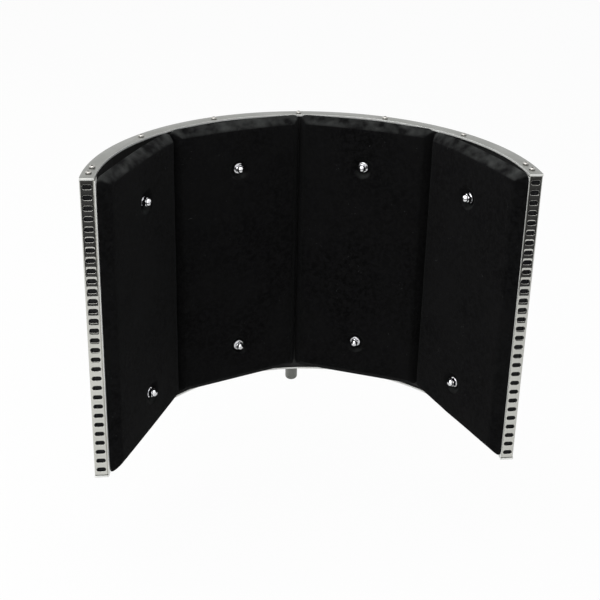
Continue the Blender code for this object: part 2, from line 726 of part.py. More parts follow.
def brackets(arc_centre, bracket_holes, looks):
    """The two brackets that the post is pressed through, and their screws."""
    bore = circle((0, POST_SETBACK), POST_RADIUS + GAP, 24)
    half = BRACKET_HEIGHT / 2
    for name, height in zip(("lower_bracket", "upper_bracket"), BRACKET_CENTRES):
        stand = Matrix.Translation((0, 0, height))
        bracket = piece(name, prism([bracket_outline(), bore], -half, half), looks["block"], arc_centre, place=stand)
        boolean(bracket, bracket_holes)
    seat = ear_back() + GAP
    rim = BRACKET_SCREW_HEAD
    crown = BRACKET_SCREW_HEAD_HEIGHT
    screw = turned(
        [
            (0, seat + crown * 0.5),
            (rim * 0.35, seat + crown * 0.5),
            (rim * 0.35, seat + crown),
            (rim * 0.65, seat + crown),
            (rim, seat + crown * 0.3),
            (rim, seat),
            (BRACKET_SCREW_RADIUS, seat),
            (BRACKET_SCREW_RADIUS, bracket_screw_end() + BRACKET_SCREW_RADIUS),
            (0, bracket_screw_end()),
        ],
        8,
    )
    pieces("bracket_screw", screw, looks["chrome"], arc_centre, bracket_screw_places(), smooth=True)


def block_outline():
    """The clamp block seen from above, with the post's axis at the origin and the stand's behind it."""
    nose = BLOCK_NOSE
    spine_outer = -SPINE_INNER - SPINE_THICKNESS
    waist = PINCH_SETBACK + LEVER_HUB_RADIUS + 2 * GAP
    outline = arc((0, 0), nose, math.pi, 2 * math.pi, 14)
    outline += [(nose, waist), (SEAT_SHOULDER, waist + SEAT_SHOULDER - nose), (SEAT_SHOULDER, SEAT_SETBACK)]
    outline += [(SEAT_DEPTH, SEAT_SETBACK), (0, SEAT_APEX), (-SEAT_DEPTH, SEAT_SETBACK)]
    outline += [(-SPINE_INNER, SEAT_SETBACK), (-SPINE_INNER, ARM_FRONT), (ARM_HALF_WIDTH, ARM_FRONT)]
    outline += arc((ARM_HALF_WIDTH - 4 * MM, ARM_BACK - 4 * MM), 4 * MM, 0, math.pi / 2, 3)
    outline += arc((spine_outer + 8 * MM, ARM_BACK - 8 * MM), 8 * MM, math.pi / 2, math.pi, 4)
    outline += [(spine_outer, waist - spine_outer - nose), (-nose, waist)]
    return outline


def keyhole():
    """The bush's bore and the slit that lets the block close on it."""
    bore = BUSH_RADIUS + GAP
    lean = math.asin(BLOCK_SLIT / 2 / bore)
    start = math.pi / 2 + lean
    ring = arc((0, 0), bore, start, start + math.tau - 2 * lean, 24)
    return ring + [(BLOCK_SLIT / 2, BLOCK_SLIT_END), (-BLOCK_SLIT / 2, BLOCK_SLIT_END)]


def stand_clamp(at_post, looks):
    """The fixed pieces of the clamp: the block and its pinch bolt."""
    half = BLOCK_HEIGHT / 2
    block = piece("clamp_block", prism([block_outline(), keyhole()], -half, half), looks["block"], at_post)
    across = Matrix.Translation((0, PINCH_SETBACK, 0)) @ Matrix.Rotation(math.pi / 2, 4, "Y")
    drill = cylinder(PINCH_RADIUS + GAP, -2 * BLOCK_NOSE, 2 * BLOCK_NOSE, 12)
    boolean(block, cutter("pinch_hole", copies(drill, [across]), at_post))
    backwards = Matrix.Rotation(-math.pi / 2, 4, "X")
    thread = cylinder(JAW_SCREW_RADIUS + GAP, ARM_FRONT - 5 * MM, ARM_BACK + 5 * MM, 16)
    boolean(block, cutter("jaw_thread", copies(thread, [backwards]), at_post))

    face = BLOCK_NOSE + GAP
    hub_end = face + LEVER_HUB_LENGTH
    head = PINCH_HEAD_FLATS / math.sqrt(3)
    bolt = scratch(cylinder(PINCH_RADIUS, -face - PINCH_HEAD_HEIGHT / 2, hub_end, 12))
    cap = cutter("pinch_head", cylinder(head, -face - PINCH_HEAD_HEIGHT, -face, 6), None)
    boolean(bolt, cap, "UNION")
    bolt_mesh = settled(bolt)
    bpy.data.objects.remove(cap, do_unlink=True)
    piece("pinch_bolt", bolt_mesh, looks["chrome"], at_post, place=across)


def post_bush(at_post, look):
    """The split nylon bush that the post slides in and the block turns on."""
    inner = POST_RADIUS + GAP
    half = BLOCK_HEIGHT / 2 + GAP
    end = half + BUSH_FLANGE
    sleeve = turned(
        [
            (BUSH_FLANGE_RADIUS, end),
            (BUSH_FLANGE_RADIUS, half),
            (BUSH_RADIUS, half),
            (BUSH_RADIUS, -half),
            (BUSH_FLANGE_RADIUS, -half),
            (BUSH_FLANGE_RADIUS, -end),
            (inner, -end),
            (inner, end),
        ],
        24,
        closed=True,
    )
    bush = piece("post_bush", sleeve, look, at_post)
    slit = box((-BUSH_SPLIT / 2, 0, -2 * end), (BUSH_SPLIT / 2, 2 * BUSH_FLANGE_RADIUS, 2 * end))
    boolean(bush, cutter("bush_slit", slit, at_post))


def lock_lever(at_post, look):
    """The lever that pinches the block, threaded on the pinch bolt."""
    pivot = empty("lever_pivot", (BLOCK_NOSE + 2 * GAP, PINCH_SETBACK, 0), at_post)
    turn_over = Matrix.Rotation(math.pi / 2, 4, "Y")
    radius = LEVER_HUB_RADIUS
    length = LEVER_HUB_LENGTH - GAP
    hub = turned(
        [(0, length), (radius - 2 * MM, length), (radius, length - 2 * MM), (radius, 0), (0, 0)],
        16,
    )
    hub.transform(turn_over)
    lever = scratch(hub)
    path = bpy.data.curves.new("lever_arm", "CURVE")
    path.dimensions = "3D"
    path.bevel_depth = 1.0 * MM
    path.bevel_resolution = 2
    path.use_fill_caps = True
    line = path.splines.new("POLY")
    line.points.add(3)
    reach = Vector((math.sin(LEVER_SPLAY), 0, -math.cos(LEVER_SPLAY)))
    start = Vector((length / 2, 0, 0))
    for point, (share, width) in zip(line.points, ((0, 1), (0.85, LEVER_TIP / LEVER_ROD), (0.95, 1.3), (1, 0.6))):
        point.co = (*(start + reach * LEVER_LENGTH * share), 1)
        point.radius = width * LEVER_ROD / MM
    rod_mesh = settled(scratch(path))
    shape = bmesh.new()
    shape.from_mesh(rod_mesh)
    bmesh.ops.remove_doubles(shape, verts=shape.verts, dist=0.00001)
    rod = cutter("lever_rod", from_bmesh(shape), None)
    boolean(lever, rod, "UNION")
    bore_mesh = cylinder(PINCH_RADIUS + GAP, -LEVER_HUB_LENGTH, 2 * LEVER_HUB_LENGTH, 12)
    bore_mesh.transform(turn_over)
    bore = cutter("lever_bore", bore_mesh, None)
    boolean(lever, bore)
    mesh = settled(lever)
    bpy.data.objects.remove(rod, do_unlink=True)
    bpy.data.objects.remove(bore, do_unlink=True)
    piece("lock_lever", mesh, look, pivot, True)


def knob_outline():
    """A lobed outline that fingers can grip."""
    points = 6 * KNOB_LOBES
    outline = []
    for index in range(points):
        turn = math.tau * index / points
        radius = KNOB_RADIUS - KNOB_LOBE_DEPTH * (1 - math.cos(KNOB_LOBES * turn)) / 2
        outline.append((radius * math.cos(turn), radius * math.sin(turn)))
    return outline


def clamp_jaw(at_post, looks):
    """The jaw pad with its rubber face, driven by the jaw screw and its knob."""
    pad_centre = empty("jaw_centre", (0, JAW_BACK, 0), at_post)
    half = JAW_SIDE / 2
    plate = piece("jaw_pad", box((-half, -JAW_THICKNESS, -half), (half, 0, half)), looks["block"], pad_centre)
    backwards = Matrix.Rotation(-math.pi / 2, 4, "X")
    socket = cylinder(JAW_TIP_RADIUS + GAP, -JAW_TIP_LENGTH - GAP, 5 * MM, 12)
    boolean(plate, cutter("jaw_socket", copies(socket, [backwards]), pad_centre))
    face_back = -JAW_THICKNESS - GAP
    face = box((-half, face_back - JAW_FACE_THICKNESS, -half), (half, face_back, half))
    piece("jaw_face", face, looks["rubber"], pad_centre)

    knob_start = KNOB_FRONT - JAW_BACK
    knob_end = knob_start + KNOB_THICKNESS
    tail = knob_end - 6 * MM
    screw = turned(
        [
            (0, tail),
            (JAW_SCREW_RADIUS, tail),
            (JAW_SCREW_RADIUS, GAP),
            (JAW_TIP_RADIUS, GAP),
            (JAW_TIP_RADIUS, -JAW_TIP_LENGTH),
            (0, -JAW_TIP_LENGTH),
        ],
        16,
    )
    piece("jaw_screw", screw, looks["chrome"], pad_centre, True, backwards)
    knob = scratch(prism([knob_outline()], knob_start, knob_end))
    soften = knob.modifiers.new("soften", "BEVEL")
    soften.width = 2.0 * MM
    soften.segments = 1
    soften.limit_method = "ANGLE"
    soften.angle_limit = math.radians(60)
    hole = cutter("knob_bore", cylinder(JAW_SCREW_RADIUS + GAP, 0, tail + GAP, 16), None)
    boolean(knob, hole)
    mesh = settled(knob)
    bpy.data.objects.remove(hole, do_unlink=True)
    piece("jaw_knob", mesh, looks["knob"], pad_centre, place=backwards)


def build():
    """Make the whole object."""
    clear_scene()
    looks = {
        "satin": finish("satin_aluminium", (0.62, 0.63, 0.60), 0.35, 1.0),
        "polished": finish("polished_steel", (0.75, 0.75, 0.72), 0.12, 1.0),
        "punched": finish("punched_aluminium", (0.60, 0.61, 0.60), 0.40, 1.0),
        "wool": finish("wool_mat", (0.10, 0.10, 0.11), 0.95, 0.0),
        "wood": finish("stained_wood", (0.045, 0.035, 0.028), 0.75, 0.0),
        "felt": finish("black_felt", (0.008, 0.008, 0.009), 0.95, 0.0),
        "board": finish("black_board", (0.012, 0.012, 0.012), 0.80, 0.0),
        "chrome": finish("chrome_plate", (0.82, 0.82, 0.84), 0.08, 1.0),
        "block": finish("anodised_block", (0.45, 0.46, 0.47), 0.45, 1.0),
        "nylon": finish("white_nylon", (0.70, 0.70, 0.66), 0.50, 0.0),
        "rubber": finish("black_rubber", (0.02, 0.02, 0.02), 0.85, 0.0),
        "knob": finish("black_plastic", (0.02, 0.02, 0.022), 0.45, 0.0),
    }
    at_post = empty("clamp_on_post", (0, -STAND_SETBACK, 0))
    filter_on_post = empty("filter_on_post", (0, -STAND_SETBACK, 0))
    arc_centre = empty("arc_centre", (0, -POST_SETBACK, -CLAMP_AT_HEIGHT), filter_on_post)

    holes, bracket_holes = wall_layers(arc_centre, looks)
    ring_plates(arc_centre, looks["satin"])
    tie_bolts(arc_centre, looks["chrome"])
    end_rails(arc_centre, looks["polished"])
    absorber_panels(arc_centre, holes, looks)
    panel_fixings(arc_centre, looks)
    rear_post(arc_centre, looks["satin"])
    brackets(arc_centre, bracket_holes, looks)

    stand_clamp(at_post, looks)
    post_bush(at_post, looks["nylon"])
    lock_lever(at_post, looks["knob"])
    clamp_jaw(at_post, looks)


build()
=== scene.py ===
"""Looks of the microphone reflection filter: its pieces, materials and a plain studio.

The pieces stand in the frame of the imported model, in metres: +Y points from the open side to the
back and +Z up the stand tube. The shell's pieces are made round the axis of its arc.
"""

import math

import bmesh
import bpy
from mathutils import Matrix, Vector, noise


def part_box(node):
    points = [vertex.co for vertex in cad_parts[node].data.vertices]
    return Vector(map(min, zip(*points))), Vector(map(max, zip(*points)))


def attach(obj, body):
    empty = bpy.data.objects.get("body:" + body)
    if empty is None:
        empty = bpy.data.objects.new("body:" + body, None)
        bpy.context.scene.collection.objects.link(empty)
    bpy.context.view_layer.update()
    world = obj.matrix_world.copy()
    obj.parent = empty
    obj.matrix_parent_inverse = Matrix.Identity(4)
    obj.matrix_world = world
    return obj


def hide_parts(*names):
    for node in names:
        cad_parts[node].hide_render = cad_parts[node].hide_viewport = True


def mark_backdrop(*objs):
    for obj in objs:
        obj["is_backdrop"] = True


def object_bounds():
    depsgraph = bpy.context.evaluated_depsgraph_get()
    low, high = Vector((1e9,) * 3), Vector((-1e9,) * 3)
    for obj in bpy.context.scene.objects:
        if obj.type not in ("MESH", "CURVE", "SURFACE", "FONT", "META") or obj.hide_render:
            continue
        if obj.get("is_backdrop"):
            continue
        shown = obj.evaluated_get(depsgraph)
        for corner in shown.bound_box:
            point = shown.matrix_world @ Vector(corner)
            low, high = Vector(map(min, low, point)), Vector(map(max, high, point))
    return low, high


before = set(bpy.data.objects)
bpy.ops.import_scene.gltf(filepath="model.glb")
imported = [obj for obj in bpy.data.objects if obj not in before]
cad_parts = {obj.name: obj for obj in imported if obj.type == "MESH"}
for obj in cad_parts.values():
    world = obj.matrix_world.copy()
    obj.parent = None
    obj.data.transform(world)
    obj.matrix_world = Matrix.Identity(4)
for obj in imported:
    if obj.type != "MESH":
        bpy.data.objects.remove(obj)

bl_info = {
    "name": "Microphone reflection filter",
    "version": (1, 0, 0),
    "blender": (4, 5, 0),
    "location": "3D View > Sidebar > Reflection filter",
    "description": "Builds the filter's detailed pieces, its finishes and a plain studio",
    "category": "Object",
}

MM = 0.001
GAP = 0.3 * MM
WELD = 0.005 * MM

CAD_LOW, CAD_HIGH = (list(corner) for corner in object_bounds())
PLATE_LOW, PLATE_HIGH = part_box("bottom_ring")
TOP_LOW, TOP_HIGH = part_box("top_ring")
POST_LOW, POST_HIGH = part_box("rear_post")
RADIUS = (PLATE_HIGH.x - PLATE_LOW.x) / 2
HEIGHT = TOP_HIGH.z - PLATE_LOW.z
POST_Y = (POST_LOW.y + POST_HIGH.y) / 2
POST_SETBACK = RADIUS + 16.5 * MM
ARC_CENTRE = Vector((0, POST_Y - POST_SETBACK, PLATE_LOW.z))
POST_AXIS = Vector((0, POST_Y, 0))
SKIN_RADIUS = RADIUS - 1.3 * MM
BLOCK_NOSE = 14.5 * MM
PINCH_REACH = 19 * MM

PANELS = 4
PANEL_STEP = math.pi / PANELS
PANEL_TURNS = [(index - (PANELS - 1) / 2) * PANEL_STEP for index in range(PANELS)]


# Sizes and colours that a user may change


class ShellSizes(bpy.types.PropertyGroup):
    """Sizes of the punched wall."""

    wall_width: bpy.props.FloatProperty(
        name="Wall width", description="Width of the ring plates", default=13 * MM, unit="LENGTH"
    )
    plate: bpy.props.FloatProperty(
        name="Plate", description="Thickness of the ring plates", default=2 * MM, unit="LENGTH"
    )
    plate_edge: bpy.props.FloatProperty(
        name="Plate edge", description="Rounding of the plates' edges", default=0.92 * MM, unit="LENGTH"
    )
    sheet: bpy.props.FloatProperty(
        name="Sheet", description="Thickness of the skins and rails", default=1 * MM, unit="LENGTH"
    )
    rail_face: bpy.props.FloatProperty(
        name="Rail face", description="Place of the rails' front faces", default=3 * MM, unit="LENGTH"
    )
    rail_flange: bpy.props.FloatProperty(
        name="Rail flange", description="Depth of the rails' flanges", default=12 * MM, unit="LENGTH"
    )
    rail_bend: bpy.props.FloatProperty(
        name="Rail bend", description="Outer radius of the rails' bends", default=1.6 * MM, unit="LENGTH"
    )
    trim: bpy.props.FloatProperty(
        name="Edge trim",
        description="Thickness of the trims beside the rails",
        default=1.2 * MM,
        unit="LENGTH",
    )
    slot_length: bpy.props.FloatProperty(
        name="Slot length", description="Length of a punched slot", default=9 * MM, unit="LENGTH"
    )
    slot_width: bpy.props.FloatProperty(
        name="Slot width", description="Width of a punched slot", default=4.6 * MM, unit="LENGTH"
    )
    slot_pitch: bpy.props.FloatProperty(
        name="Slot pitch", description="Upright distance between slots", default=10 * MM, unit="LENGTH"
    )
    slot_rows: bpy.props.IntProperty(name="Slot rows", description="Slots in one column", default=30)
    slot_columns: bpy.props.IntProperty(
        name="Slot columns", description="Columns of slots round the outer skin", default=46
    )


class PanelSizes(bpy.types.PropertyGroup):
    """Sizes of the felt pads and their fixings."""

    bevel: bpy.props.FloatProperty(
        name="Bevel", description="Width of the bevel round a pad's face", default=9 * MM, unit="LENGTH"
    )
    dimple: bpy.props.FloatProperty(
        name="Dimple", description="How far a nut draws the felt in", default=5 * MM, unit="LENGTH"
    )
    dimple_radius: bpy.props.FloatProperty(
        name="Dimple radius", description="Reach of the dimple round a nut", default=13 * MM, unit="LENGTH"
    )
    top_bevel: bpy.props.FloatProperty(
        name="Top bevel", description="Height of the bevel along a pad's top", default=7.6 * MM, unit="LENGTH"
    )
    pad_top: bpy.props.FloatProperty(
        name="Pad top",
        description="Height of the pads' tops over the shell's foot",
        default=310.3 * MM,
        unit="LENGTH",
    )
    foot_lift: bpy.props.FloatProperty(
        name="Foot lift", description="How much higher the middle pads start", default=2.4 * MM, unit="LENGTH"
    )
    corner_round: bpy.props.FloatProperty(
        name="Corner round", description="Radius of a pad's corners", default=7 * MM, unit="LENGTH"
    )
    corner_draw: bpy.props.FloatProperty(
        name="Corner draw",
        description="How far the felt is drawn in at its corners",
        default=1.8 * MM,
        unit="LENGTH",
    )
    fold_draw: bpy.props.FloatProperty(
        name="Fold draw",
        description="How far it is drawn in at the outer pads' folds",
        default=3.2 * MM,
        unit="LENGTH",
    )
    corner_reach: bpy.props.FloatProperty(
        name="Corner reach",
        description="Height over which a corner is drawn in",
        default=42 * MM,
        unit="LENGTH",
    )
    board_inset: bpy.props.FloatProperty(
        name="Board inset",
        description="How far a board stops short of the rails",
        default=4.5 * MM,
        unit="LENGTH",
    )
    board_margin: bpy.props.FloatProperty(
        name="Board margin",
        description="How far a board stays inside its pad",
        default=1.8 * MM,
        unit="LENGTH",
    )
    bolt_low: bpy.props.FloatProperty(
        name="Lower bolts", description="Height of the lower bolts", default=54.5 * MM, unit="LENGTH"
    )
    bolt_spacing: bpy.props.FloatProperty(
        name="Bolt spacing", description="Height between the bolts", default=206 * MM, unit="LENGTH"
    )


class Finishes(bpy.types.PropertyGroup):
    """Colours of the finishes."""

    felt: bpy.props.FloatVectorProperty(
        name="Felt", description="Colour of the pads", subtype="COLOR", default=(0.0023, 0.0023, 0.0024)
    )
    satin: bpy.props.FloatVectorProperty(
        name="Satin aluminium",
        description="Colour of the plates and post",
        subtype="COLOR",
        default=(0.26, 0.266, 0.25),
    )
    # The plates' light edge colour is a painted highlight on their rounded edges and cut sides.
    cut_edge_and_highlight: bpy.props.FloatVectorProperty(
        name="Cut edge and highlight",
        description="Colour of the plates' cut edges and their painted highlight",
        subtype="COLOR",
        default=(0.9, 0.9, 0.87),
    )
    polished: bpy.props.FloatVectorProperty(
        name="Polished steel",
        description="Colour of the end rails",
        subtype="COLOR",
        default=(0.64, 0.635, 0.6),
    )
    chrome: bpy.props.FloatVectorProperty(
        name="Chrome", description="Colour of the bolts and nuts", subtype="COLOR", default=(0.8, 0.8, 0.82)
    )
    anodised: bpy.props.FloatVectorProperty(
        name="Anodised",
        description="Colour of the clamp and brackets",
        subtype="COLOR",
        default=(0.42, 0.43, 0.44),
    )
    plastic: bpy.props.FloatVectorProperty(
        name="Plastic",
        description="Colour of the knob and lever",
        subtype="COLOR",
        default=(0.018, 0.018, 0.02),
    )


class StudioSizes(bpy.types.PropertyGroup):
    """Sizes of the studio."""

    room_below: bpy.props.FloatProperty(
        name="Room below",
        description="Room under the filter for its slide down",
        default=85 * MM,
        unit="LENGTH",
    )
    card_edge: bpy.props.FloatProperty(
        name="Card edge", description="Distance of the dark card in front", default=0.72, unit="LENGTH"
    )


# Mesh helpers


def arc(centre, radius, start, end, steps):
    """Points on an arc, angles from +X towards +Y."""
    turns = [start + (end - start) * step / steps for step in range(steps + 1)]
    return [(centre[0] + radius * math.cos(t), centre[1] + radius * math.sin(t)) for t in turns]


def circle(centre, radius, steps=24):
    """Points of a whole circle."""
    return arc(centre, radius, 0, math.tau, steps)[:-1]


def from_bmesh(shape):
    """A mesh from a bmesh, which is freed."""
    mesh = bpy.data.meshes.new("shape")
    shape.to_mesh(mesh)
    shape.free()
    return mesh


def scratch(mesh):
    """A scratch object for a mesh that still needs modifiers."""
    made = bpy.data.objects.new("scratch", mesh)
    bpy.context.scene.collection.objects.link(made)
    return made


def settled(source):
    """The evaluated mesh of a scratch object, which is then removed."""
    bpy.context.view_layer.update()
    graph = bpy.context.evaluated_depsgraph_get()
    mesh = bpy.data.meshes.new_from_object(source.evaluated_get(graph))
    bpy.data.objects.remove(source, do_unlink=True)
    return mesh


def box(low, high):
    """A box between two corners."""
    shape = bmesh.new()
    bmesh.ops.create_cube(shape, size=1.0)
    low = Vector(low)
    high = Vector(high)
    place = Matrix.Translation((low + high) / 2) @ Matrix.Diagonal((*(high - low), 1.0))
    bmesh.ops.transform(shape, matrix=place, verts=shape.verts)
    return from_bmesh(shape)


def cylinder(radius, low, high, steps=32):
    """A cylinder along Z."""
    shape = bmesh.new()
    place = Matrix.Translation((0, 0, (low + high) / 2))
    bmesh.ops.create_cone(
        shape, cap_ends=True, segments=steps, radius1=radius, radius2=radius, depth=high - low, matrix=place
    )
    return from_bmesh(shape)


def turned(points, steps=48, closed=False):
    """A profile turned about Z."""
    shape = bmesh.new()
    line = [shape.verts.new((x, 0, z)) for x, z in points]
    for first, second in zip(line, line[1:]):
        shape.edges.new((first, second))
    if closed:
        shape.edges.new((line[-1], line[0]))
    source = scratch(from_bmesh(shape))
    turn = source.modifiers.new("turn", "SCREW")
    turn.steps = steps
    turn.render_steps = steps
    turn.use_merge_vertices = True
    turn.merge_threshold = WELD
    turn.use_smooth_shade = False
    return settled(source)


def prism(outlines, low, high):
    """A flat outline, with holes as further outlines, extruded along Z."""
    flat = bpy.data.curves.new("outline", "CURVE")
    flat.dimensions = "2D"
    flat.fill_mode = "BOTH"
    flat.extrude = (high - low) / 2
    for outline in outlines:
        spline = flat.splines.new("POLY")
        spline.points.add(len(outline) - 1)
        for point, (x, y) in zip(spline.points, outline):
            point.co = (x, y, 0, 1)
        spline.use_cyclic_u = True
    mesh = settled(scratch(flat))
    shape = bmesh.new()
    shape.from_mesh(mesh)
    bmesh.ops.remove_doubles(shape, verts=shape.verts, dist=WELD)
    bmesh.ops.dissolve_limit(shape, angle_limit=0.001, verts=shape.verts, edges=shape.edges)
    bmesh.ops.translate(shape, verts=shape.verts, vec=(0, 0, (low + high) / 2))
    bmesh.ops.recalc_face_normals(shape, faces=shape.faces)
    shape.to_mesh(mesh)
    shape.free()
    return mesh


def combined(mesh, tools, operation="DIFFERENCE"):
    """A mesh after exact Booleans with some tools."""
    source = scratch(mesh)
    helpers = []
    for tool in tools:
        helper = scratch(tool)
        helpers.append(helper)
        change = source.modifiers.new("change", "BOOLEAN")
        change.operation = operation
        change.solver = "EXACT"
        change.object = helper
    made = settled(source)
    for helper in helpers:
        bpy.data.objects.remove(helper, do_unlink=True)
    return made


def bevelled(mesh, width, segments=2, angle=40):
    """A mesh with its sharp edges rounded."""
    source = scratch(mesh)
    rounding = source.modifiers.new("edges", "BEVEL")
    rounding.width = width
    rounding.segments = segments
    rounding.limit_method = "ANGLE"
    rounding.angle_limit = math.radians(angle)
    return settled(source)


def moved(mesh, matrix):
    """A copy of a mesh in another place."""
    copy = mesh.copy()
    copy.transform(matrix)
    return copy


def around(turn):
    """Turn from the back of the arc towards +X, with Y pointing outwards."""
    return Matrix.Translation(ARC_CENTRE) @ Matrix.Rotation(-turn, 4, "Z")


def outward(turn, radius, height):
    """A place on the arc with Z pointing outwards."""
    return around(turn) @ Matrix.Translation((0, radius, height)) @ Matrix.Rotation(-math.pi / 2, 4, "X")


def inward(turn, radius, height):
    """A place on the arc with Z pointing at the arc's axis."""
    return around(turn) @ Matrix.Translation((0, radius, height)) @ Matrix.Rotation(math.pi / 2, 4, "X")


def on_arc(turn, radius, height):
    """An upright place on the arc."""
    return around(turn) @ Matrix.Translation((0, radius, height))


def piece(name, mesh, look, body, nodes=(), angle=35):
    """A finished piece that rides on a body and stands for some solids."""
    mesh.materials.clear()
    mesh.materials.append(finish(look))
    mesh.shade_smooth()
    mesh.set_sharp_from_angle(angle=math.radians(angle))
    made = bpy.data.objects.new(name, mesh)
    bpy.context.scene.collection.objects.link(made)
    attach(made, body)
    if nodes:
        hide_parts(*nodes)
    return made


def dress(look, *nodes):
    """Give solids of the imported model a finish."""
    for name in nodes:
        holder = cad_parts[name].material_slots[0]
        holder.link = "OBJECT"
        holder.material = finish(look)


# Geometry node trees for what repeats


def add_node(tree, kind, links=None, **settings):
    """A node with its settings, and its inputs by name."""
    made = tree.nodes.new(kind)
    for key, value in settings.items():
        setattr(made, key, value)
    for name, value in (links or {}).items():
        socket = made.inputs[name]
        if isinstance(value, bpy.types.NodeSocket):
            tree.links.new(value, socket)
        else:
            socket.default_value = value
    return made


def calculate(tree, operation, first, second=None):
    """The outcome of a Math node."""
    links = {0: first} if second is None else {0: first, 1: second}
    return add_node(tree, "ShaderNodeMath", links, operation=operation).outputs[0]


def map_range(tree, value, low, high, new_low=0.0, new_high=1.0):
    """A value brought into another range."""
    made = add_node(
        tree,
        "ShaderNodeMapRange",
        {"Value": value, "From Min": low, "From Max": high, "To Min": new_low, "To Max": new_high},
    )
    return made.outputs[0]


def new_tree(name, kind, inputs, outputs):
    """A node group with named sockets, and its two ends."""
    tree = bpy.data.node_groups.new(name, kind)
    for label, socket in inputs:
        tree.interface.new_socket(name=label, in_out="INPUT", socket_type=socket)
    for label, socket in outputs:
        tree.interface.new_socket(name=label, in_out="OUTPUT", socket_type=socket)
    start = tree.nodes.new("NodeGroupInput")
    end = tree.nodes.new("NodeGroupOutput")
    return tree, start, end


def use_tree(source, tree, values):
    """A node modifier with its inputs set by identifier."""
    change = source.modifiers.new(tree.name, "NODES")
    change.node_group = tree
    for item in tree.interface.items_tree:
        if item.item_type == "SOCKET" and item.in_out == "INPUT" and item.name in values:
            change[item.identifier] = values[item.name]
    return change


def placed_tree():
    """Copies of one piece on points that carry their own turn."""
    tree, start, end = new_tree(
        "Placed pieces",
        "GeometryNodeTree",
        [("Geometry", "NodeSocketGeometry"), ("Piece", "NodeSocketObject"), ("Finish", "NodeSocketMaterial")],
        [("Geometry", "NodeSocketGeometry")],
    )
    info = add_node(tree, "GeometryNodeObjectInfo", {"Object": start.outputs["Piece"]})
    turn = add_node(tree, "GeometryNodeInputNamedAttribute", {"Name": "turn"}, data_type="FLOAT_VECTOR")
    spin = add_node(tree, "FunctionNodeEulerToRotation", {"Euler": turn.outputs["Attribute"]})
    copies = add_node(
        tree,
        "GeometryNodeInstanceOnPoints",
        {
            "Points": start.outputs["Geometry"],
            "Instance": info.outputs["Geometry"],
            "Rotation": spin.outputs["Rotation"],
        },
    )
    real = add_node(tree, "GeometryNodeRealizeInstances", {"Geometry": copies.outputs["Instances"]})
    paint = add_node(
        tree,
        "GeometryNodeSetMaterial",
        {"Geometry": real.outputs["Geometry"], "Material": start.outputs["Finish"]},
    )
    tree.links.new(paint.outputs["Geometry"], end.inputs["Geometry"])
    return tree


def punched_tree():
    """A flat sheet of cells, slotted except near the solid spots."""
    tree, start, end = new_tree(
        "Punched sheet",
        "GeometryNodeTree",
        [
            ("Slotted cell", "NodeSocketObject"),
            ("Blank cell", "NodeSocketObject"),
            ("Solid spots", "NodeSocketObject"),
            ("Columns", "NodeSocketInt"),
            ("Rows", "NodeSocketInt"),
            ("Column pitch", "NodeSocketFloat"),
            ("Row pitch", "NodeSocketFloat"),
            ("Clear distance", "NodeSocketFloat"),
            ("Finish", "NodeSocketMaterial"),
        ],
        [("Geometry", "NodeSocketGeometry")],
    )
    values = start.outputs
    sizes = []
    for count, pitch in (("Columns", "Column pitch"), ("Rows", "Row pitch")):
        fewer = calculate(tree, "SUBTRACT", values[count], 1.0)
        sizes.append(calculate(tree, "MULTIPLY", fewer, values[pitch]))
    grid = add_node(
        tree,
        "GeometryNodeMeshGrid",
        {
            "Size X": sizes[0],
            "Size Y": sizes[1],
            "Vertices X": values["Columns"],
            "Vertices Y": values["Rows"],
        },
    )
    spots = add_node(tree, "GeometryNodeObjectInfo", {"Object": values["Solid spots"]})
    near = add_node(tree, "GeometryNodeProximity", {0: spots.outputs["Geometry"]}, target_element="POINTS")
    far = calculate(tree, "GREATER_THAN", near.outputs["Distance"], values["Clear distance"])
    close = calculate(tree, "SUBTRACT", 1.0, far)
    both = tree.nodes.new("GeometryNodeJoinGeometry")
    for name, chosen in (("Slotted cell", far), ("Blank cell", close)):
        info = add_node(tree, "GeometryNodeObjectInfo", {"Object": values[name]})
        copies = add_node(
            tree,
            "GeometryNodeInstanceOnPoints",
            {"Points": grid.outputs["Mesh"], "Selection": chosen, "Instance": info.outputs["Geometry"]},
        )
        tree.links.new(copies.outputs["Instances"], both.inputs[0])
    real = add_node(tree, "GeometryNodeRealizeInstances", {"Geometry": both.outputs[0]})
    weld = add_node(
        tree, "GeometryNodeMergeByDistance", {"Geometry": real.outputs["Geometry"], "Distance": 0.00002}
    )
    paint = add_node(
        tree,
        "GeometryNodeSetMaterial",
        {"Geometry": weld.outputs["Geometry"], "Material": values["Finish"]},
    )
    tree.links.new(paint.outputs["Geometry"], end.inputs["Geometry"])
    return tree


def rolled_tree():
    """A flat sheet rolled round an upright axis, its X going along the arc."""
    tree, start, end = new_tree(
        "Rolled sheet",
        "GeometryNodeTree",
        [("Geometry", "NodeSocketGeometry"), ("Radius", "NodeSocketFloat")],
        [("Geometry", "NodeSocketGeometry")],
    )
    place = tree.nodes.new("GeometryNodeInputPosition")
    parts = add_node(tree, "ShaderNodeSeparateXYZ", {0: place.outputs[0]})
    radius = start.outputs["Radius"]
    turn = calculate(tree, "DIVIDE", parts.outputs["X"], radius)
    across = calculate(tree, "MULTIPLY", calculate(tree, "SINE", turn), radius)
    back = calculate(tree, "MULTIPLY", calculate(tree, "COSINE", turn), radius)
    rolled = add_node(tree, "ShaderNodeCombineXYZ", {"X": across, "Y": back, "Z": parts.outputs["Y"]})
    shift = add_node(
        tree,
        "GeometryNodeSetPosition",
        {"Geometry": start.outputs["Geometry"], "Position": rolled.outputs["Vector"]},
    )
    tree.links.new(shift.outputs["Geometry"], end.inputs["Geometry"])
    return tree


def tree_named(name, make):
    """A node group that is built once."""
    return bpy.data.node_groups.get(name) or make()


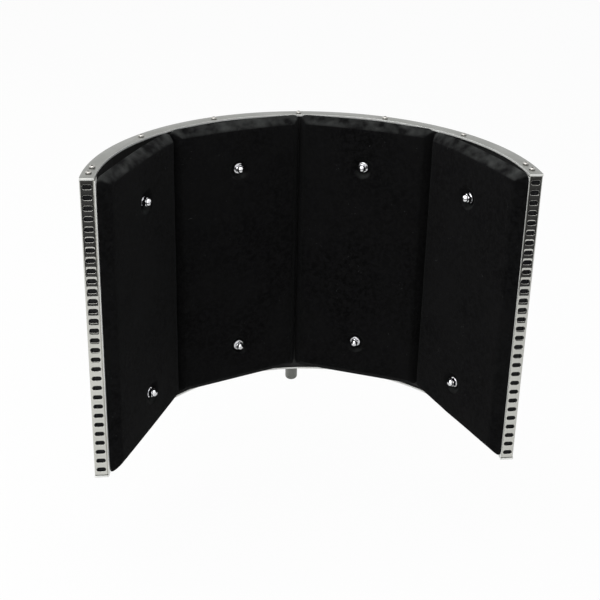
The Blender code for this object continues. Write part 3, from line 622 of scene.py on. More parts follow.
def placed(mesh, places, look):
    """One mesh repeated in several places by geometry nodes."""
    tree = tree_named("Placed pieces", placed_tree)
    model = scratch(mesh)
    shape = bmesh.new()
    for place in places:
        shape.verts.new(place.translation)
    points = from_bmesh(shape)
    turns = points.attributes.new("turn", "FLOAT_VECTOR", "POINT")
    for item, place in zip(turns.data, places):
        item.vector = place.to_euler()
    holder = scratch(points)
    use_tree(holder, tree, {"Piece": model, "Finish": finish(look)})
    made = settled(holder)
    bpy.data.objects.remove(model, do_unlink=True)
    return made


def cell(half_width, half_height, slot_length, slot_width, steps, cut=True, wings=()):
    """One cell of a punched sheet, flat, with a slot or blank, and strips beside it."""
    shape = bmesh.new()
    radius = slot_width / 2
    straight = slot_length / 2 - radius
    corner = max(1, round(steps / 6))
    right_inner = []
    right_outer = []
    for index in range(steps + 1):
        turn = -math.pi / 2 + math.pi * index / steps
        right_inner.append((straight + radius * math.cos(turn), radius * math.sin(turn)))
        if index <= corner:
            place = (straight + (half_width - straight) * index / corner, -half_height)
        elif index < steps - corner:
            share = (index - corner) / (steps - 2 * corner)
            place = (half_width, -half_height + 2 * half_height * share)
        else:
            share = (steps - index) / corner
            place = (straight + (half_width - straight) * share, half_height)
        right_outer.append(place)
    inner = right_inner + [(-x, -y) for x, y in right_inner]
    outer = right_outer + [(-x, -y) for x, y in right_outer]
    inner_verts = [shape.verts.new((x, y, 0)) for x, y in inner]
    outer_verts = [shape.verts.new((x, y, 0)) for x, y in outer]
    count = len(inner)
    for index in range(count):
        after = (index + 1) % count
        shape.faces.new((inner_verts[index], outer_verts[index], outer_verts[after], inner_verts[after]))
    if not cut:
        for index in range(steps):
            left = count - 1 - index
            corners = (inner_verts[index], inner_verts[index + 1], inner_verts[left - 1], inner_verts[left])
            shape.faces.new(corners)
    sides = [y for x, y in right_outer if x > half_width - 1e-7]
    for side in (-1, 1):
        for near, far in zip((half_width, *wings), wings):
            for low, high in zip(sides, sides[1:]):
                corners = [(side * near, low), (side * far, low), (side * far, high), (side * near, high)]
                if side < 0:
                    corners.reverse()
                shape.faces.new([shape.verts.new((x, y, 0)) for x, y in corners])
    bmesh.ops.remove_doubles(shape, verts=shape.verts, dist=WELD)
    return from_bmesh(shape)


def punched(cells, spots, columns, rows, pitches, clear, look, radius=None):
    """A punched sheet, flat or rolled round an arc."""
    slotted, blank = (scratch(mesh) for mesh in cells)
    shape = bmesh.new()
    for x, y in spots or [(1.0, 1.0)]:
        shape.verts.new((x, y, 0))
    solid = scratch(from_bmesh(shape))
    holder = scratch(bpy.data.meshes.new("sheet"))
    use_tree(
        holder,
        tree_named("Punched sheet", punched_tree),
        {
            "Slotted cell": slotted,
            "Blank cell": blank,
            "Solid spots": solid,
            "Columns": columns,
            "Rows": rows,
            "Column pitch": pitches[0],
            "Row pitch": pitches[1],
            "Clear distance": clear,
            "Finish": finish(look),
        },
    )
    if radius:
        use_tree(holder, tree_named("Rolled sheet", rolled_tree), {"Radius": radius})
    made = settled(holder)
    for helper in (slotted, blank, solid):
        bpy.data.objects.remove(helper, do_unlink=True)
    return made


def thickened(mesh, thickness, offset):
    """A wall made of an open sheet."""
    source = scratch(mesh)
    wall = source.modifiers.new("wall", "SOLIDIFY")
    wall.thickness = thickness
    wall.offset = offset
    wall.use_even_offset = True
    return settled(source)


# Shader groups that several finishes share


def grain_group():
    """Fine grain, drawn out along one way, and a broad change of tone."""
    group, start, end = new_tree(
        "Grain",
        "ShaderNodeTree",
        [
            ("Scale", "NodeSocketFloat"),
            ("Along", "NodeSocketVector"),
            ("Detail", "NodeSocketFloat"),
        ],
        [("Height", "NodeSocketFloat"), ("Tone", "NodeSocketFloat")],
    )
    where = group.nodes.new("ShaderNodeTexCoord")
    stretch = add_node(
        group,
        "ShaderNodeVectorMath",
        {0: where.outputs["Object"], 1: start.outputs["Along"]},
        operation="MULTIPLY",
    )
    fine = add_node(
        group,
        "ShaderNodeTexNoise",
        {"Vector": stretch.outputs[0], "Scale": start.outputs["Scale"], "Detail": start.outputs["Detail"]},
    )
    broad_scale = calculate(group, "MULTIPLY", start.outputs["Scale"], 0.03)
    broad = add_node(
        group, "ShaderNodeTexNoise", {"Vector": where.outputs["Object"], "Scale": broad_scale, "Detail": 3.0}
    )
    group.links.new(fine.outputs[0], end.inputs["Height"])
    group.links.new(broad.outputs[0], end.inputs["Tone"])
    return group


def smudge_group():
    """Soft handling marks and thin scratches on bright metal."""
    group, start, end = new_tree(
        "Handling marks",
        "ShaderNodeTree",
        [("Scale", "NodeSocketFloat"), ("Clean", "NodeSocketFloat"), ("Marked", "NodeSocketFloat")],
        [("Roughness", "NodeSocketFloat"), ("Scratch", "NodeSocketFloat")],
    )
    where = group.nodes.new("ShaderNodeTexCoord")
    marks = add_node(
        group,
        "ShaderNodeTexNoise",
        {"Vector": where.outputs["Object"], "Scale": start.outputs["Scale"], "Detail": 6.0, "Roughness": 0.6},
    )
    spread = map_range(group, marks.outputs[0], 0.42, 0.72, start.outputs["Clean"], start.outputs["Marked"])
    lines = add_node(
        group,
        "ShaderNodeTexNoise",
        {"Vector": where.outputs["Object"], "Scale": 900.0, "Detail": 2.0, "Distortion": 1.5},
    )
    group.links.new(spread, end.inputs["Roughness"])
    group.links.new(map_range(group, lines.outputs[0], 0.55, 0.75), end.inputs["Scratch"])
    return group


def fibre_group():
    """Pressed fibres: matted threads, flecks of lint and a faint woven grid."""
    group, start, end = new_tree(
        "Fibres",
        "ShaderNodeTree",
        [("Thread", "NodeSocketFloat"), ("Weave", "NodeSocketFloat"), ("Weave strength", "NodeSocketFloat")],
        [
            ("Height", "NodeSocketFloat"),
            ("Fleck", "NodeSocketFloat"),
            ("Tone", "NodeSocketFloat"),
            ("Matting", "NodeSocketFloat"),
        ],
    )
    where = group.nodes.new("ShaderNodeTexCoord")
    spot = where.outputs["Object"]
    warp = add_node(group, "ShaderNodeTexNoise", {"Vector": spot, "Scale": 120.0, "Detail": 2.0})
    bend = {0: warp.outputs["Color"], "Scale": 0.012}
    bent = add_node(group, "ShaderNodeVectorMath", bend, operation="SCALE")
    twisted = add_node(group, "ShaderNodeVectorMath", {0: spot, 1: bent.outputs[0]}, operation="ADD")
    threads = add_node(
        group,
        "ShaderNodeTexNoise",
        {"Vector": twisted.outputs[0], "Scale": start.outputs["Thread"], "Detail": 5.0, "Roughness": 0.75},
    )
    lint = add_node(group, "ShaderNodeTexVoronoi", {"Vector": twisted.outputs[0], "Scale": 260.0})
    fleck = map_range(group, lint.outputs["Distance"], 0.16, 0.04)
    rare = add_node(group, "ShaderNodeTexNoise", {"Vector": spot, "Scale": 55.0, "Detail": 1.0})
    flecks = calculate(group, "MULTIPLY", fleck, map_range(group, rare.outputs[0], 0.6, 0.72))
    total = threads.outputs[0]
    for axis in ("X", "Z"):
        wave = add_node(
            group,
            "ShaderNodeTexWave",
            {"Vector": spot, "Scale": start.outputs["Weave"], "Distortion": 1.2, "Detail": 1.0},
            bands_direction=axis,
        )
        part = calculate(group, "MULTIPLY", wave.outputs["Fac"], start.outputs["Weave strength"])
        total = calculate(group, "ADD", total, part)
    broad = add_node(group, "ShaderNodeTexNoise", {"Vector": spot, "Scale": 14.0, "Detail": 3.0})
    clump_scale = calculate(group, "MULTIPLY", start.outputs["Thread"], 0.16)
    clumps = add_node(
        group,
        "ShaderNodeTexNoise",
        {"Vector": twisted.outputs[0], "Scale": clump_scale, "Detail": 3.0, "Roughness": 0.7},
    )
    group.links.new(total, end.inputs["Height"])
    group.links.new(flecks, end.inputs["Fleck"])
    group.links.new(broad.outputs[0], end.inputs["Tone"])
    group.links.new(clumps.outputs[0], end.inputs["Matting"])
    return group


def dust_and_top_light_group():
    """A little dust on what faces up, with painted top light that lightens upward faces."""
    group, start, end = new_tree(
        "Dust and painted top light",
        "ShaderNodeTree",
        [("Amount", "NodeSocketFloat")],
        [("Mask", "NodeSocketFloat")],
    )
    where = group.nodes.new("ShaderNodeTexCoord")
    facing = group.nodes.new("ShaderNodeNewGeometry")
    parts = add_node(group, "ShaderNodeSeparateXYZ", {0: facing.outputs["Normal"]})
    upward = map_range(group, parts.outputs["Z"], 0.3, 1.0)
    cloud = add_node(
        group, "ShaderNodeTexNoise", {"Vector": where.outputs["Object"], "Scale": 70.0, "Detail": 6.0}
    )
    mask = calculate(group, "MULTIPLY", upward, map_range(group, cloud.outputs[0], 0.35, 0.8))
    group.links.new(calculate(group, "MULTIPLY", mask, start.outputs["Amount"]), end.inputs["Mask"])
    return group


def edge_highlight_group():
    """Where a sheet shows its rounded edge, and where its upright cut side, rather than its face: the mask of
    a painted highlight.
    """
    group, start, end = new_tree(
        "Cut edges and painted highlight",
        "ShaderNodeTree",
        [("Reach", "NodeSocketFloat")],
        [("Mask", "NodeSocketFloat"), ("Side", "NodeSocketFloat")],
    )
    facing = group.nodes.new("ShaderNodeNewGeometry")
    parts = add_node(group, "ShaderNodeSeparateXYZ", {0: facing.outputs["Normal"]})
    level = calculate(group, "ABSOLUTE", parts.outputs["Z"])
    group.links.new(map_range(group, level, start.outputs["Reach"], 0.8), end.inputs["Mask"])
    group.links.new(map_range(group, level, 0.6, 0.25), end.inputs["Side"])
    return group


def effect(tree, name, make, values):
    """A shared shader group placed in a material."""
    placed_group = tree.nodes.new("ShaderNodeGroup")
    placed_group.node_tree = tree_named(name, make)
    for label, value in values.items():
        placed_group.inputs[label].default_value = value
    return placed_group.outputs


def blank_material(name, roughness, metallic=0.0, **sockets):
    """A material with its Principled shader and uniform values set on it."""
    made = bpy.data.materials.new(name)
    made.use_nodes = True
    shader = made.node_tree.nodes["Principled BSDF"]
    shader.inputs["Roughness"].default_value = roughness
    shader.inputs["Metallic"].default_value = metallic
    for label, value in sockets.items():
        shader.inputs[label.replace("_", " ")].default_value = value
    return made, made.node_tree, shader


def colour_mix(tree, mask, first, second):
    """Two colours mixed by a mask."""
    mix = tree.nodes.new("ShaderNodeMix")
    mix.data_type = "RGBA"
    for socket, value in ((mix.inputs[0], mask), (mix.inputs[6], first), (mix.inputs[7], second)):
        if isinstance(value, bpy.types.NodeSocket):
            tree.links.new(value, socket)
        else:
            socket.default_value = value if isinstance(value, float) else (*value, 1.0)
    return mix.outputs[2]


def value_mix(tree, mask, first, second):
    """Two values mixed by a mask."""
    mix = add_node(tree, "ShaderNodeMix", {0: mask, 2: first, 3: second}, data_type="FLOAT")
    return mix.outputs[0]


def bump(tree, height, distance, strength=1.0, before=None):
    """A bump from a height, in metres."""
    made = add_node(tree, "ShaderNodeBump", {"Height": height, "Distance": distance, "Strength": strength})
    if before is not None:
        tree.links.new(before, made.inputs["Normal"])
    return made.outputs["Normal"]


def shade(colour, share):
    """A colour made lighter or darker."""
    return tuple(min(1.0, channel * share) for channel in colour)


def metal(name, colour, clean, marked, along=(1, 1, 1), grain=500.0, depth=0.000004, dust_and_top_light=0.0, edges=None):
    """A bare or plated metal with drawn grain, handling marks, and perhaps dust with painted top light and
    light cut edges with a painted highlight.
    """
    made, tree, shader = blank_material(name, clean, 1.0)
    fine = effect(tree, "Grain", grain_group, {"Scale": grain, "Along": along, "Detail": 3.0})
    marks = effect(tree, "Handling marks", smudge_group, {"Scale": 22.0, "Clean": clean, "Marked": marked})
    tone = map_range(tree, fine["Tone"], 0.35, 0.65)
    base = colour_mix(tree, tone, shade(colour, 0.92), shade(colour, 1.04))
    # Dust on upward faces, which also lightens them as painted top light.
    if dust_and_top_light:
        mask = effect(tree, "Dust and painted top light", dust_and_top_light_group, {"Amount": dust_and_top_light})
        base = colour_mix(tree, mask["Mask"], base, (0.35, 0.34, 0.32))
    rough = marks["Roughness"]
    # Light cut edges: a painted highlight on rounded edges and upright sides.
    if edges:
        cut = effect(tree, "Cut edges and painted highlight", edge_highlight_group, {"Reach": 0.95})
        base = colour_mix(tree, cut["Mask"], base, edges)
        rough = value_mix(tree, cut["Side"], rough, 0.55)
        bare = map_range(tree, cut["Side"], 0.0, 1.0, 1.0, 0.15)
        tree.links.new(bare, shader.inputs["Metallic"])
    tree.links.new(base, shader.inputs["Base Color"])
    tree.links.new(rough, shader.inputs["Roughness"])
    first = bump(tree, fine["Height"], depth)
    tree.links.new(bump(tree, marks["Scratch"], depth * 0.5, 0.4, first), shader.inputs["Normal"])
    return made


def moulded(name, colour, roughness, grain, depth, dust_and_top_light=0.0):
    """A moulded plastic or rubber with a fine grain."""
    made, tree, shader = blank_material(name, roughness)
    fine = effect(tree, "Grain", grain_group, {"Scale": grain, "Along": (1, 1, 1), "Detail": 4.0})
    base = colour_mix(tree, fine["Tone"], shade(colour, 0.85), shade(colour, 1.2))
    # Dust on upward faces, which also lightens them as painted top light.
    if dust_and_top_light:
        mask = effect(tree, "Dust and painted top light", dust_and_top_light_group, {"Amount": dust_and_top_light})
        base = colour_mix(tree, mask["Mask"], base, (0.25, 0.24, 0.23))
    tree.links.new(base, shader.inputs["Base Color"])
    uneven = map_range(tree, fine["Tone"], 0.3, 0.7, roughness - 0.06, roughness + 0.06)
    tree.links.new(uneven, shader.inputs["Roughness"])
    tree.links.new(bump(tree, fine["Height"], depth), shader.inputs["Normal"])
    return made


def felt(name, colour, lighter, thread, weave, weave_strength, depth, dust_and_top_light):
    """A matted fabric with fibres, lint, a soft sheen, and dust with painted top light on what faces up."""
    made, tree, shader = blank_material(
        name, 0.97, Sheen_Weight=0.02, Sheen_Roughness=0.5, Specular_IOR_Level=0.05
    )
    shader.inputs["Sheen Tint"].default_value = (0.6, 0.62, 0.62, 1.0)
    fibres = effect(
        tree, "Fibres", fibre_group, {"Thread": thread, "Weave": weave, "Weave strength": weave_strength}
    )
    matted = colour_mix(
        tree, map_range(tree, fibres["Matting"], 0.4, 0.6), shade(colour, 0.9), shade(colour, 4.6)
    )
    mottled = colour_mix(tree, map_range(tree, fibres["Height"], 0.4, 0.8), shade(colour, 0.55), matted)
    toned = colour_mix(tree, map_range(tree, fibres["Tone"], 0.36, 0.66, 0.0, 0.7), mottled, lighter)
    lint = map_range(tree, fibres["Fleck"], 0.0, 1.0, 0.0, 0.35)
    linted = colour_mix(tree, lint, toned, (0.16, 0.16, 0.16))
    # Dust and painted top light: what faces up, the top bevels most, is lightened towards grey.
    mask = effect(tree, "Dust and painted top light", dust_and_top_light_group, {"Amount": dust_and_top_light})
    dusted_and_top_lit = colour_mix(tree, mask["Mask"], linted, (0.12, 0.125, 0.12))
    tree.links.new(dusted_and_top_lit, shader.inputs["Base Color"])
    tree.links.new(bump(tree, fibres["Height"], depth), shader.inputs["Normal"])
    return made


def stained_wood():
    """Dark stained wood with upright grain."""
    made, tree, shader = blank_material("stained_wood", 0.7)
    fine = effect(tree, "Grain", grain_group, {"Scale": 420.0, "Along": (1, 1, 0.06), "Detail": 4.0})
    grain = map_range(tree, fine["Height"], 0.35, 0.65)
    base = colour_mix(tree, grain, (0.02, 0.014, 0.01), (0.07, 0.05, 0.035))
    tree.links.new(base, shader.inputs["Base Color"])
    tree.links.new(bump(tree, fine["Height"], 0.00005), shader.inputs["Normal"])
    return made


def finish(name):
    """A finish of the filter, made when it is first asked for."""
    made = bpy.data.materials.get(name)
    if made:
        return made
    colours = bpy.context.scene.filter_finishes
    makers = {
        "black_felt": lambda: felt(
            name, tuple(colours.felt), (0.0062, 0.0063, 0.0064),
            thread=1500.0, weave=330.0, weave_strength=0.1, depth=0.0003, dust_and_top_light=0.68,
        ),
        "acoustic_wool": lambda: felt(
            name, (0.014, 0.014, 0.015), (0.03, 0.03, 0.031),
            thread=1500.0, weave=200.0, weave_strength=0.0, depth=0.0006, dust_and_top_light=0.1,
        ),
        "black_board": lambda: moulded(
            name, (0.012, 0.012, 0.012), 0.8, grain=900.0, depth=0.00003, dust_and_top_light=0.4
        ),
        "black_lacquer_and_painted_shade": lambda: moulded(
            name, (0.006, 0.006, 0.006), 0.7, grain=1200.0, depth=0.00002, dust_and_top_light=0.05
        ),
        "stained_wood": stained_wood,
        "satin_plate": lambda: metal(
            name, tuple(colours.satin), 0.34, 0.46, grain=1400.0, dust_and_top_light=0.25, edges=tuple(colours.cut_edge_and_highlight)
        ),
        # The post takes the plates' satin colour darkened, as painted shade.
        "satin_post_painted_shade": lambda: metal(
            name, shade(colours.satin, 0.85), 0.28, 0.4, along=(1, 1, 0.04), grain=900.0, dust_and_top_light=0.2
        ),
        "polished_steel": lambda: metal(
            name, tuple(colours.polished), 0.045, 0.12, along=(1, 1, 0.05), depth=0.0000012
        ),
        "punched_aluminium": lambda: metal(
            name, (0.6, 0.61, 0.6), 0.3, 0.42, along=(0.05, 0.05, 1), grain=900.0, depth=0.000005
        ),
        "bright_chrome": lambda: metal(
            name, tuple(colours.chrome), 0.05, 0.14, grain=700.0, depth=0.0000015
        ),
        "plain_steel": lambda: metal(name, (0.4, 0.39, 0.37), 0.24, 0.4, grain=900.0, dust_and_top_light=0.2),
        "anodised_block": lambda: metal(
            name, tuple(colours.anodised), 0.36, 0.48, grain=1800.0, depth=0.000008, dust_and_top_light=0.3
        ),
        "moulded_plastic": lambda: moulded(
            name, tuple(colours.plastic), 0.42, grain=1600.0, depth=0.00003, dust_and_top_light=0.25
        ),
        "rubber_face": lambda: moulded(name, (0.02, 0.02, 0.02), 0.8, grain=1100.0, depth=0.00004),
        "natural_nylon": lambda: moulded(name, (0.62, 0.61, 0.56), 0.45, grain=800.0, depth=0.000015),
    }
    return makers[name]()


# Pieces of the wall


def bolt_heights():
    """Heights of the two rows of panel bolts."""
    sizes = bpy.context.scene.filter_panels
    return (sizes.bolt_low, sizes.bolt_low + sizes.bolt_spacing)


def tie_turns():
    """Turns of the nine tie bolts."""
    middle = RADIUS - 6.5 * MM
    lean = math.atan2(7.5 * MM, middle)
    turns = [math.radians(26.55) * step for step in range(-2, 3)]
    return turns + [side * math.radians(83.45) + step * lean for side in (-1, 1) for step in (-1, 1)]


class FILTER_OT_outer_skin(bpy.types.Operator):
    """Make the outer skin with its rows of punched slots"""

    bl_idname = "filter.outer_skin"
    bl_label = "Outer skin"

    def execute(self, context):
        sizes = context.scene.filter_shell
        outside = RADIUS - sizes.sheet - GAP
        half_turn = math.acos(4.6 * MM / (RADIUS - 9.9 * MM))
        length = 2 * half_turn * outside
        pitch = length / sizes.slot_columns
        low, high = (edge.z - ARC_CENTRE.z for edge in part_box("outer_skin"))
        row = (high - low) / sizes.slot_rows
        cells = [
            cell(pitch / 2, row / 2, sizes.slot_length, sizes.slot_width, 6, cut) for cut in (True, False)
        ]
        middle = (low + high) / 2
        clear = 9 * MM
        apart, rise = 9 * MM, 5 * MM
        spots = [(turn * outside, height - middle) for turn in PANEL_TURNS for height in bolt_heights()]
        for name in ("lower_bracket", "upper_bracket"):
            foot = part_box(name)
            height = (foot[0].z + foot[1].z) / 2 - ARC_CENTRE.z - middle
            spots += [(step * apart, height + side * rise) for step in range(-3, 4) for side in (-1, 1)]
        columns, rows = sizes.slot_columns, sizes.slot_rows
        sheet = punched(cells, spots, columns, rows, (pitch, row), clear, "punched_aluminium", outside)
        sheet.transform(Matrix.Translation(ARC_CENTRE + Vector((0, 0, middle))))
        wall = thickened(sheet, sizes.sheet, 0)
        wall.transform(shrink_about_arc(outside, outside - sizes.sheet / 2))
        piece("punched_skin", wall, "punched_aluminium", "filter", ["outer_skin"])
        return {"FINISHED"}


def shrink_about_arc(old, new):
    """Bring a sheet from one radius of the arc to another."""
    share = new / old
    there = Matrix.Translation(ARC_CENTRE)
    return there @ Matrix.Diagonal((share, share, 1, 1)) @ there.inverted()


class FILTER_OT_end_rails(bpy.types.Operator):
    """Make the two folded end rails with their column of slots"""

    bl_idname = "filter.end_rails"
    bl_label = "End rails"

    def execute(self, context):
        sizes = context.scene.filter_shell
        bend = sizes.rail_bend
        half = sizes.wall_width / 2 - bend
        quarter = bend * math.pi / 2
        wings = [half + quarter * step / 6 for step in range(1, 7)]
        wings += [half + quarter + (sizes.rail_flange - bend) * step / 2 for step in (1, 2)]
        cells = [
            cell(half, sizes.slot_pitch / 2, sizes.slot_length, sizes.slot_width, 16, cut, wings)
            for cut in (True, False)
        ]
        flat = punched(cells, [], 1, sizes.slot_rows, (1.0, sizes.slot_pitch), 0.0, "polished_steel")
        middle = RADIUS - sizes.wall_width / 2
        inside = RADIUS - sizes.wall_width - 0.1 * MM
        front, back = 1.2 * MM, 13 * MM
        foot = sizes.plate + GAP
        rim = 0.2 * MM
        for name, side in (("left", -1), ("right", 1)):
            folded = bevelled(thickened(self.fold(flat, half, sizes), sizes.sheet, -1), rim, 3, 60)
            place = ARC_CENTRE + Vector((side * middle, sizes.rail_face, HEIGHT / 2))
            folded.transform(Matrix.Translation(place))
            nodes = [f"{name}_end_rail"]
            piece(f"slotted_rail_{name}", folded, "polished_steel", "filter", nodes)
            # The trims' upright faces take the plates' light edge colour, a painted highlight.
            faces = sorted((side * (inside - sizes.trim), side * inside))
            strip = bevelled(box((faces[0], front, foot), (faces[1], back, HEIGHT - foot)), rim)
            strip.transform(Matrix.Translation(ARC_CENTRE))
            piece(f"edge_trim_{name}", strip, "satin_plate", "filter")
        return {"FINISHED"}

    def fold(self, flat, half, sizes):
        """The flat strip folded into a channel."""
        bend = sizes.rail_bend
        quarter = bend * math.pi / 2
        reach = sizes.slot_rows * sizes.slot_pitch / 2
        stretch = (HEIGHT - 2 * sizes.plate - 2 * GAP) / 2
        folded = flat.copy()
        for vert in folded.vertices:
            along, height, _ = vert.co
            side = 1 if along > 0 else -1
            past = abs(along) - half
            if abs(height) > reach - 0.1 * MM:
                height = math.copysign(stretch, height)
            if past <= 0:
                across, depth = abs(along), 0.0
            elif past < quarter:
                across = half + bend * math.sin(past / bend)
                depth = bend * (1 - math.cos(past / bend))
            else:
                across = half + bend
                depth = bend + past - quarter
            vert.co = (side * across, depth, height)
        shape = bmesh.new()
        shape.from_mesh(folded)
        bmesh.ops.recalc_face_normals(shape, faces=shape.faces)
        if sum(face.normal.y * face.calc_area() for face in shape.faces) > 0:
            bmesh.ops.reverse_faces(shape, faces=shape.faces)
        shape.to_mesh(folded)
        shape.free()
        return folded


class FILTER_OT_ring_plates(bpy.types.Operator):
    """Make the curved plates on the top and the bottom of the wall"""

    bl_idname = "filter.ring_plates"
    bl_label = "Ring plates"

    def execute(self, context):
        sizes = context.scene.filter_shell
        inner = RADIUS - sizes.wall_width
        middle = RADIUS - sizes.wall_width / 2
        half_turn = math.acos((sizes.rail_face - 0.6 * MM) / middle)
        start = math.pi / 2 - half_turn
        end = math.pi / 2 + half_turn
        outline = arc((0, 0), RADIUS, start, end, 180) + arc((0, 0), inner, end, start, 180)
        hole = 2.3 * MM
        holes = [circle((middle * math.sin(turn), middle * math.cos(turn)), hole, 20) for turn in tie_turns()]
        plate = bevelled(prism([outline, *holes], 0, sizes.plate), sizes.plate_edge, 3, 60)
        for name, height in (("bottom", 0), ("top", HEIGHT - sizes.plate)):
            place = Matrix.Translation(ARC_CENTRE + Vector((0, 0, height)))
            piece(f"plate_{name}", moved(plate, place), "satin_plate", "filter", [f"{name}_ring"])
        return {"FINISHED"}


def socket_head(radius, height, socket, depth, shank, length):
    """A button head with a hexagon socket, on its shank, its seat at Z = 0."""
    flat = radius * 0.5
    edge = height * 0.12
    profile = [(0, height)]
    for step in range(9):
        turn = math.pi / 2 * step / 8
        profile.append((flat + (radius - flat) * math.sin(turn), edge + (height - edge) * math.cos(turn)))
    chamfer = 0.3 * MM
    profile += [(radius - 0.1 * MM, 0), (shank, 0), (shank, chamfer - length)]
    profile += [(shank - chamfer, -length), (0, -length)]
    recess = cylinder(socket, height - depth, height + 1 * MM, 6)
    return combined(turned(profile, 40), [recess])


class FILTER_OT_tie_bolts(bpy.types.Operator):
    """Make the long bolts that hold the ring plates together"""

    bl_idname = "filter.tie_bolts"
    bl_label = "Tie bolts"

    def execute(self, context):
        sizes = context.scene.filter_shell
        middle = RADIUS - sizes.wall_width / 2
        bolt = socket_head(2.9 * MM, 1.7 * MM, 1.25 * MM, 1.0 * MM, 2 * MM, HEIGHT + GAP)
        places = [on_arc(turn, middle, HEIGHT + GAP) for turn in tie_turns()]
        mesh = placed(bolt, places, "plain_steel")
        nodes = [f"tie_bolt_{number}" for number in range(1, len(places) + 1)]
        piece("tie_bolts", mesh, "plain_steel", "filter", nodes)
        return {"FINISHED"}


class FILTER_OT_inner_layers(bpy.types.Operator):
    """Finish the layers inside the wall and the battens behind the pads"""

    bl_idname = "filter.inner_layers"
    bl_label = "Inner layers"

    def execute(self, context):
        dress("acoustic_wool", "wool_mat")
        # The inner skin's black finish is also painted shade for the seams and gaps behind the pads.
        dress("black_lacquer_and_painted_shade", "inner_skin")
        dress("stained_wood", "rear_batten", *(f"panel_batten_{n}" for n in range(1, PANELS + 1)))
        return {"FINISHED"}


# Absorber panels and their fixings


def stations(low, high, border, spots, coarse):
    """Places across a pad: close together at its edges and round its nuts."""
    made = {low, high}
    for step in (0.35, 0.9, 1.8, 3.0, 4.5, 6.0, 7.5, 8.4, 9.2, 10.2, 12.0, 15.0):
        made |= {low + step * MM, high - step * MM}
    for spot in spots:
        made |= {spot + step * border / 9 for step in range(-11, 12)}
    steps = int((high - low) / coarse)
    for step in range(1, steps):
        place = low + (high - low) * step / steps
        if all(abs(place - other) > coarse * 0.6 for other in made):
            made.add(place)
    return sorted(made)


def soft_step(value):
    """A smooth rise from 0 to 1."""
    value = min(1.0, max(0.0, value))
    return value * value * (3 - 2 * value)


def pad(left, right, height, depth, bolts, sag, lift, seed):
    """A felt-covered pad with a bevelled face, drawn in at its nuts. Its face looks along -Y."""
    sizes = bpy.context.scene.filter_panels
    across = stations(-left, right, sizes.dimple_radius, [0.0], 6 * MM)
    up = stations(0.0, height, sizes.dimple_radius, bolts, 6 * MM)
    bevel = sizes.bevel
    wall = depth - bevel

    def face_depth(x, z):
        edge = min(x + left, right - x, z, (height - z) * bevel / sizes.top_bevel)
        round_off = 1.1 * MM
        slope = 7 * MM
        drop = bevel - edge
        rounding = (drop + math.sqrt(drop * drop + round_off * round_off)) / 2
        tuck = 0.9 * MM * math.exp(-edge / (0.8 * MM))
        sink = 0.0
        for bolt in bolts:
            away = math.hypot(x, z - bolt)
            sink = max(sink, sizes.dimple * soft_step((sizes.dimple_radius - away) / slope))
        ripple = noise.noise(Vector((x * 30 + seed, z * 30, seed))) * 0.35 * MM
        ripple += noise.noise(Vector((x * 130, z * 130 + seed, seed))) * 0.12 * MM
        calm = soft_step(edge / (3 * MM))
        return min(rounding + tuck + sink + (ripple + 0.3 * MM) * calm, depth - wall * 0.5)

    def round_corner(x, z):
        reach = sizes.corner_round
        side, edge_x = (-1, left) if x < 0 else (1, right)
        floor, edge_z = (-1, 0.0) if z < height / 2 else (1, height)
        near_x = 1 - (edge_x - abs(x)) / reach
        near_z = 1 - abs(edge_z - z) / reach
        if near_x <= 0 or near_z <= 0:
            return x, z
        round_x = near_x * math.sqrt(1 - near_z * near_z / 2)
        round_z = near_z * math.sqrt(1 - near_x * near_x / 2)
        return x - side * (near_x - round_x) * reach, z - floor * (near_z - round_z) * reach

    def settle(x, z):
        x, z = round_corner(x, z)
        ends = (max(0.0, -x / left) ** 2, max(0.0, x / right) ** 2)
        down = sum(amount * share for amount, share in zip(sag, ends))
        rise = sum(amount * share for amount, share in zip(lift, ends))
        down *= soft_step(1 - (height - z) / sizes.corner_reach)
        return x, z - down + rise * soft_step(1 - z / sizes.corner_reach)

    shape = bmesh.new()
    front = []
    for z in up:
        row = []
        for x in across:
            new_x, new_z = settle(x, z)
            row.append(shape.verts.new((new_x, face_depth(x, z), new_z)))
        front.append(row)
    for row, above in zip(front, front[1:]):
        for first, second, third, fourth in zip(row, row[1:], above[1:], above):
            shape.faces.new((first, second, third, fourth))
    rim = [edge for edge in shape.edges if edge.is_boundary]
    pushed = bmesh.ops.extrude_edge_only(shape, edges=rim)["geom"]
    for vert in [item for item in pushed if isinstance(item, bmesh.types.BMVert)]:
        vert.co.y = depth
    back = [item for item in pushed if isinstance(item, bmesh.types.BMEdge)]
    bmesh.ops.triangle_fill(shape, use_beauty=True, edges=back)
    bmesh.ops.recalc_face_normals(shape, faces=shape.faces)
    return from_bmesh(shape)


def panel_box(name, turn):
    """Lowest and highest corners of a solid in its own panel's frame."""
    back = around(turn).inverted()
    corners = [back @ vert.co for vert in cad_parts[name].data.vertices]
    low = Vector(min(corner[axis] for corner in corners) for axis in range(3))
    high = Vector(max(corner[axis] for corner in corners) for axis in range(3))
    return low, high


def pad_foot(number):
    """Height at which a pad starts, the middle ones higher than the outer ones."""
    low, _ = panel_box(f"absorber_pad_{number}", PANEL_TURNS[number - 1])
    return low.z + (0 if number in (1, PANELS) else bpy.context.scene.filter_panels.foot_lift)


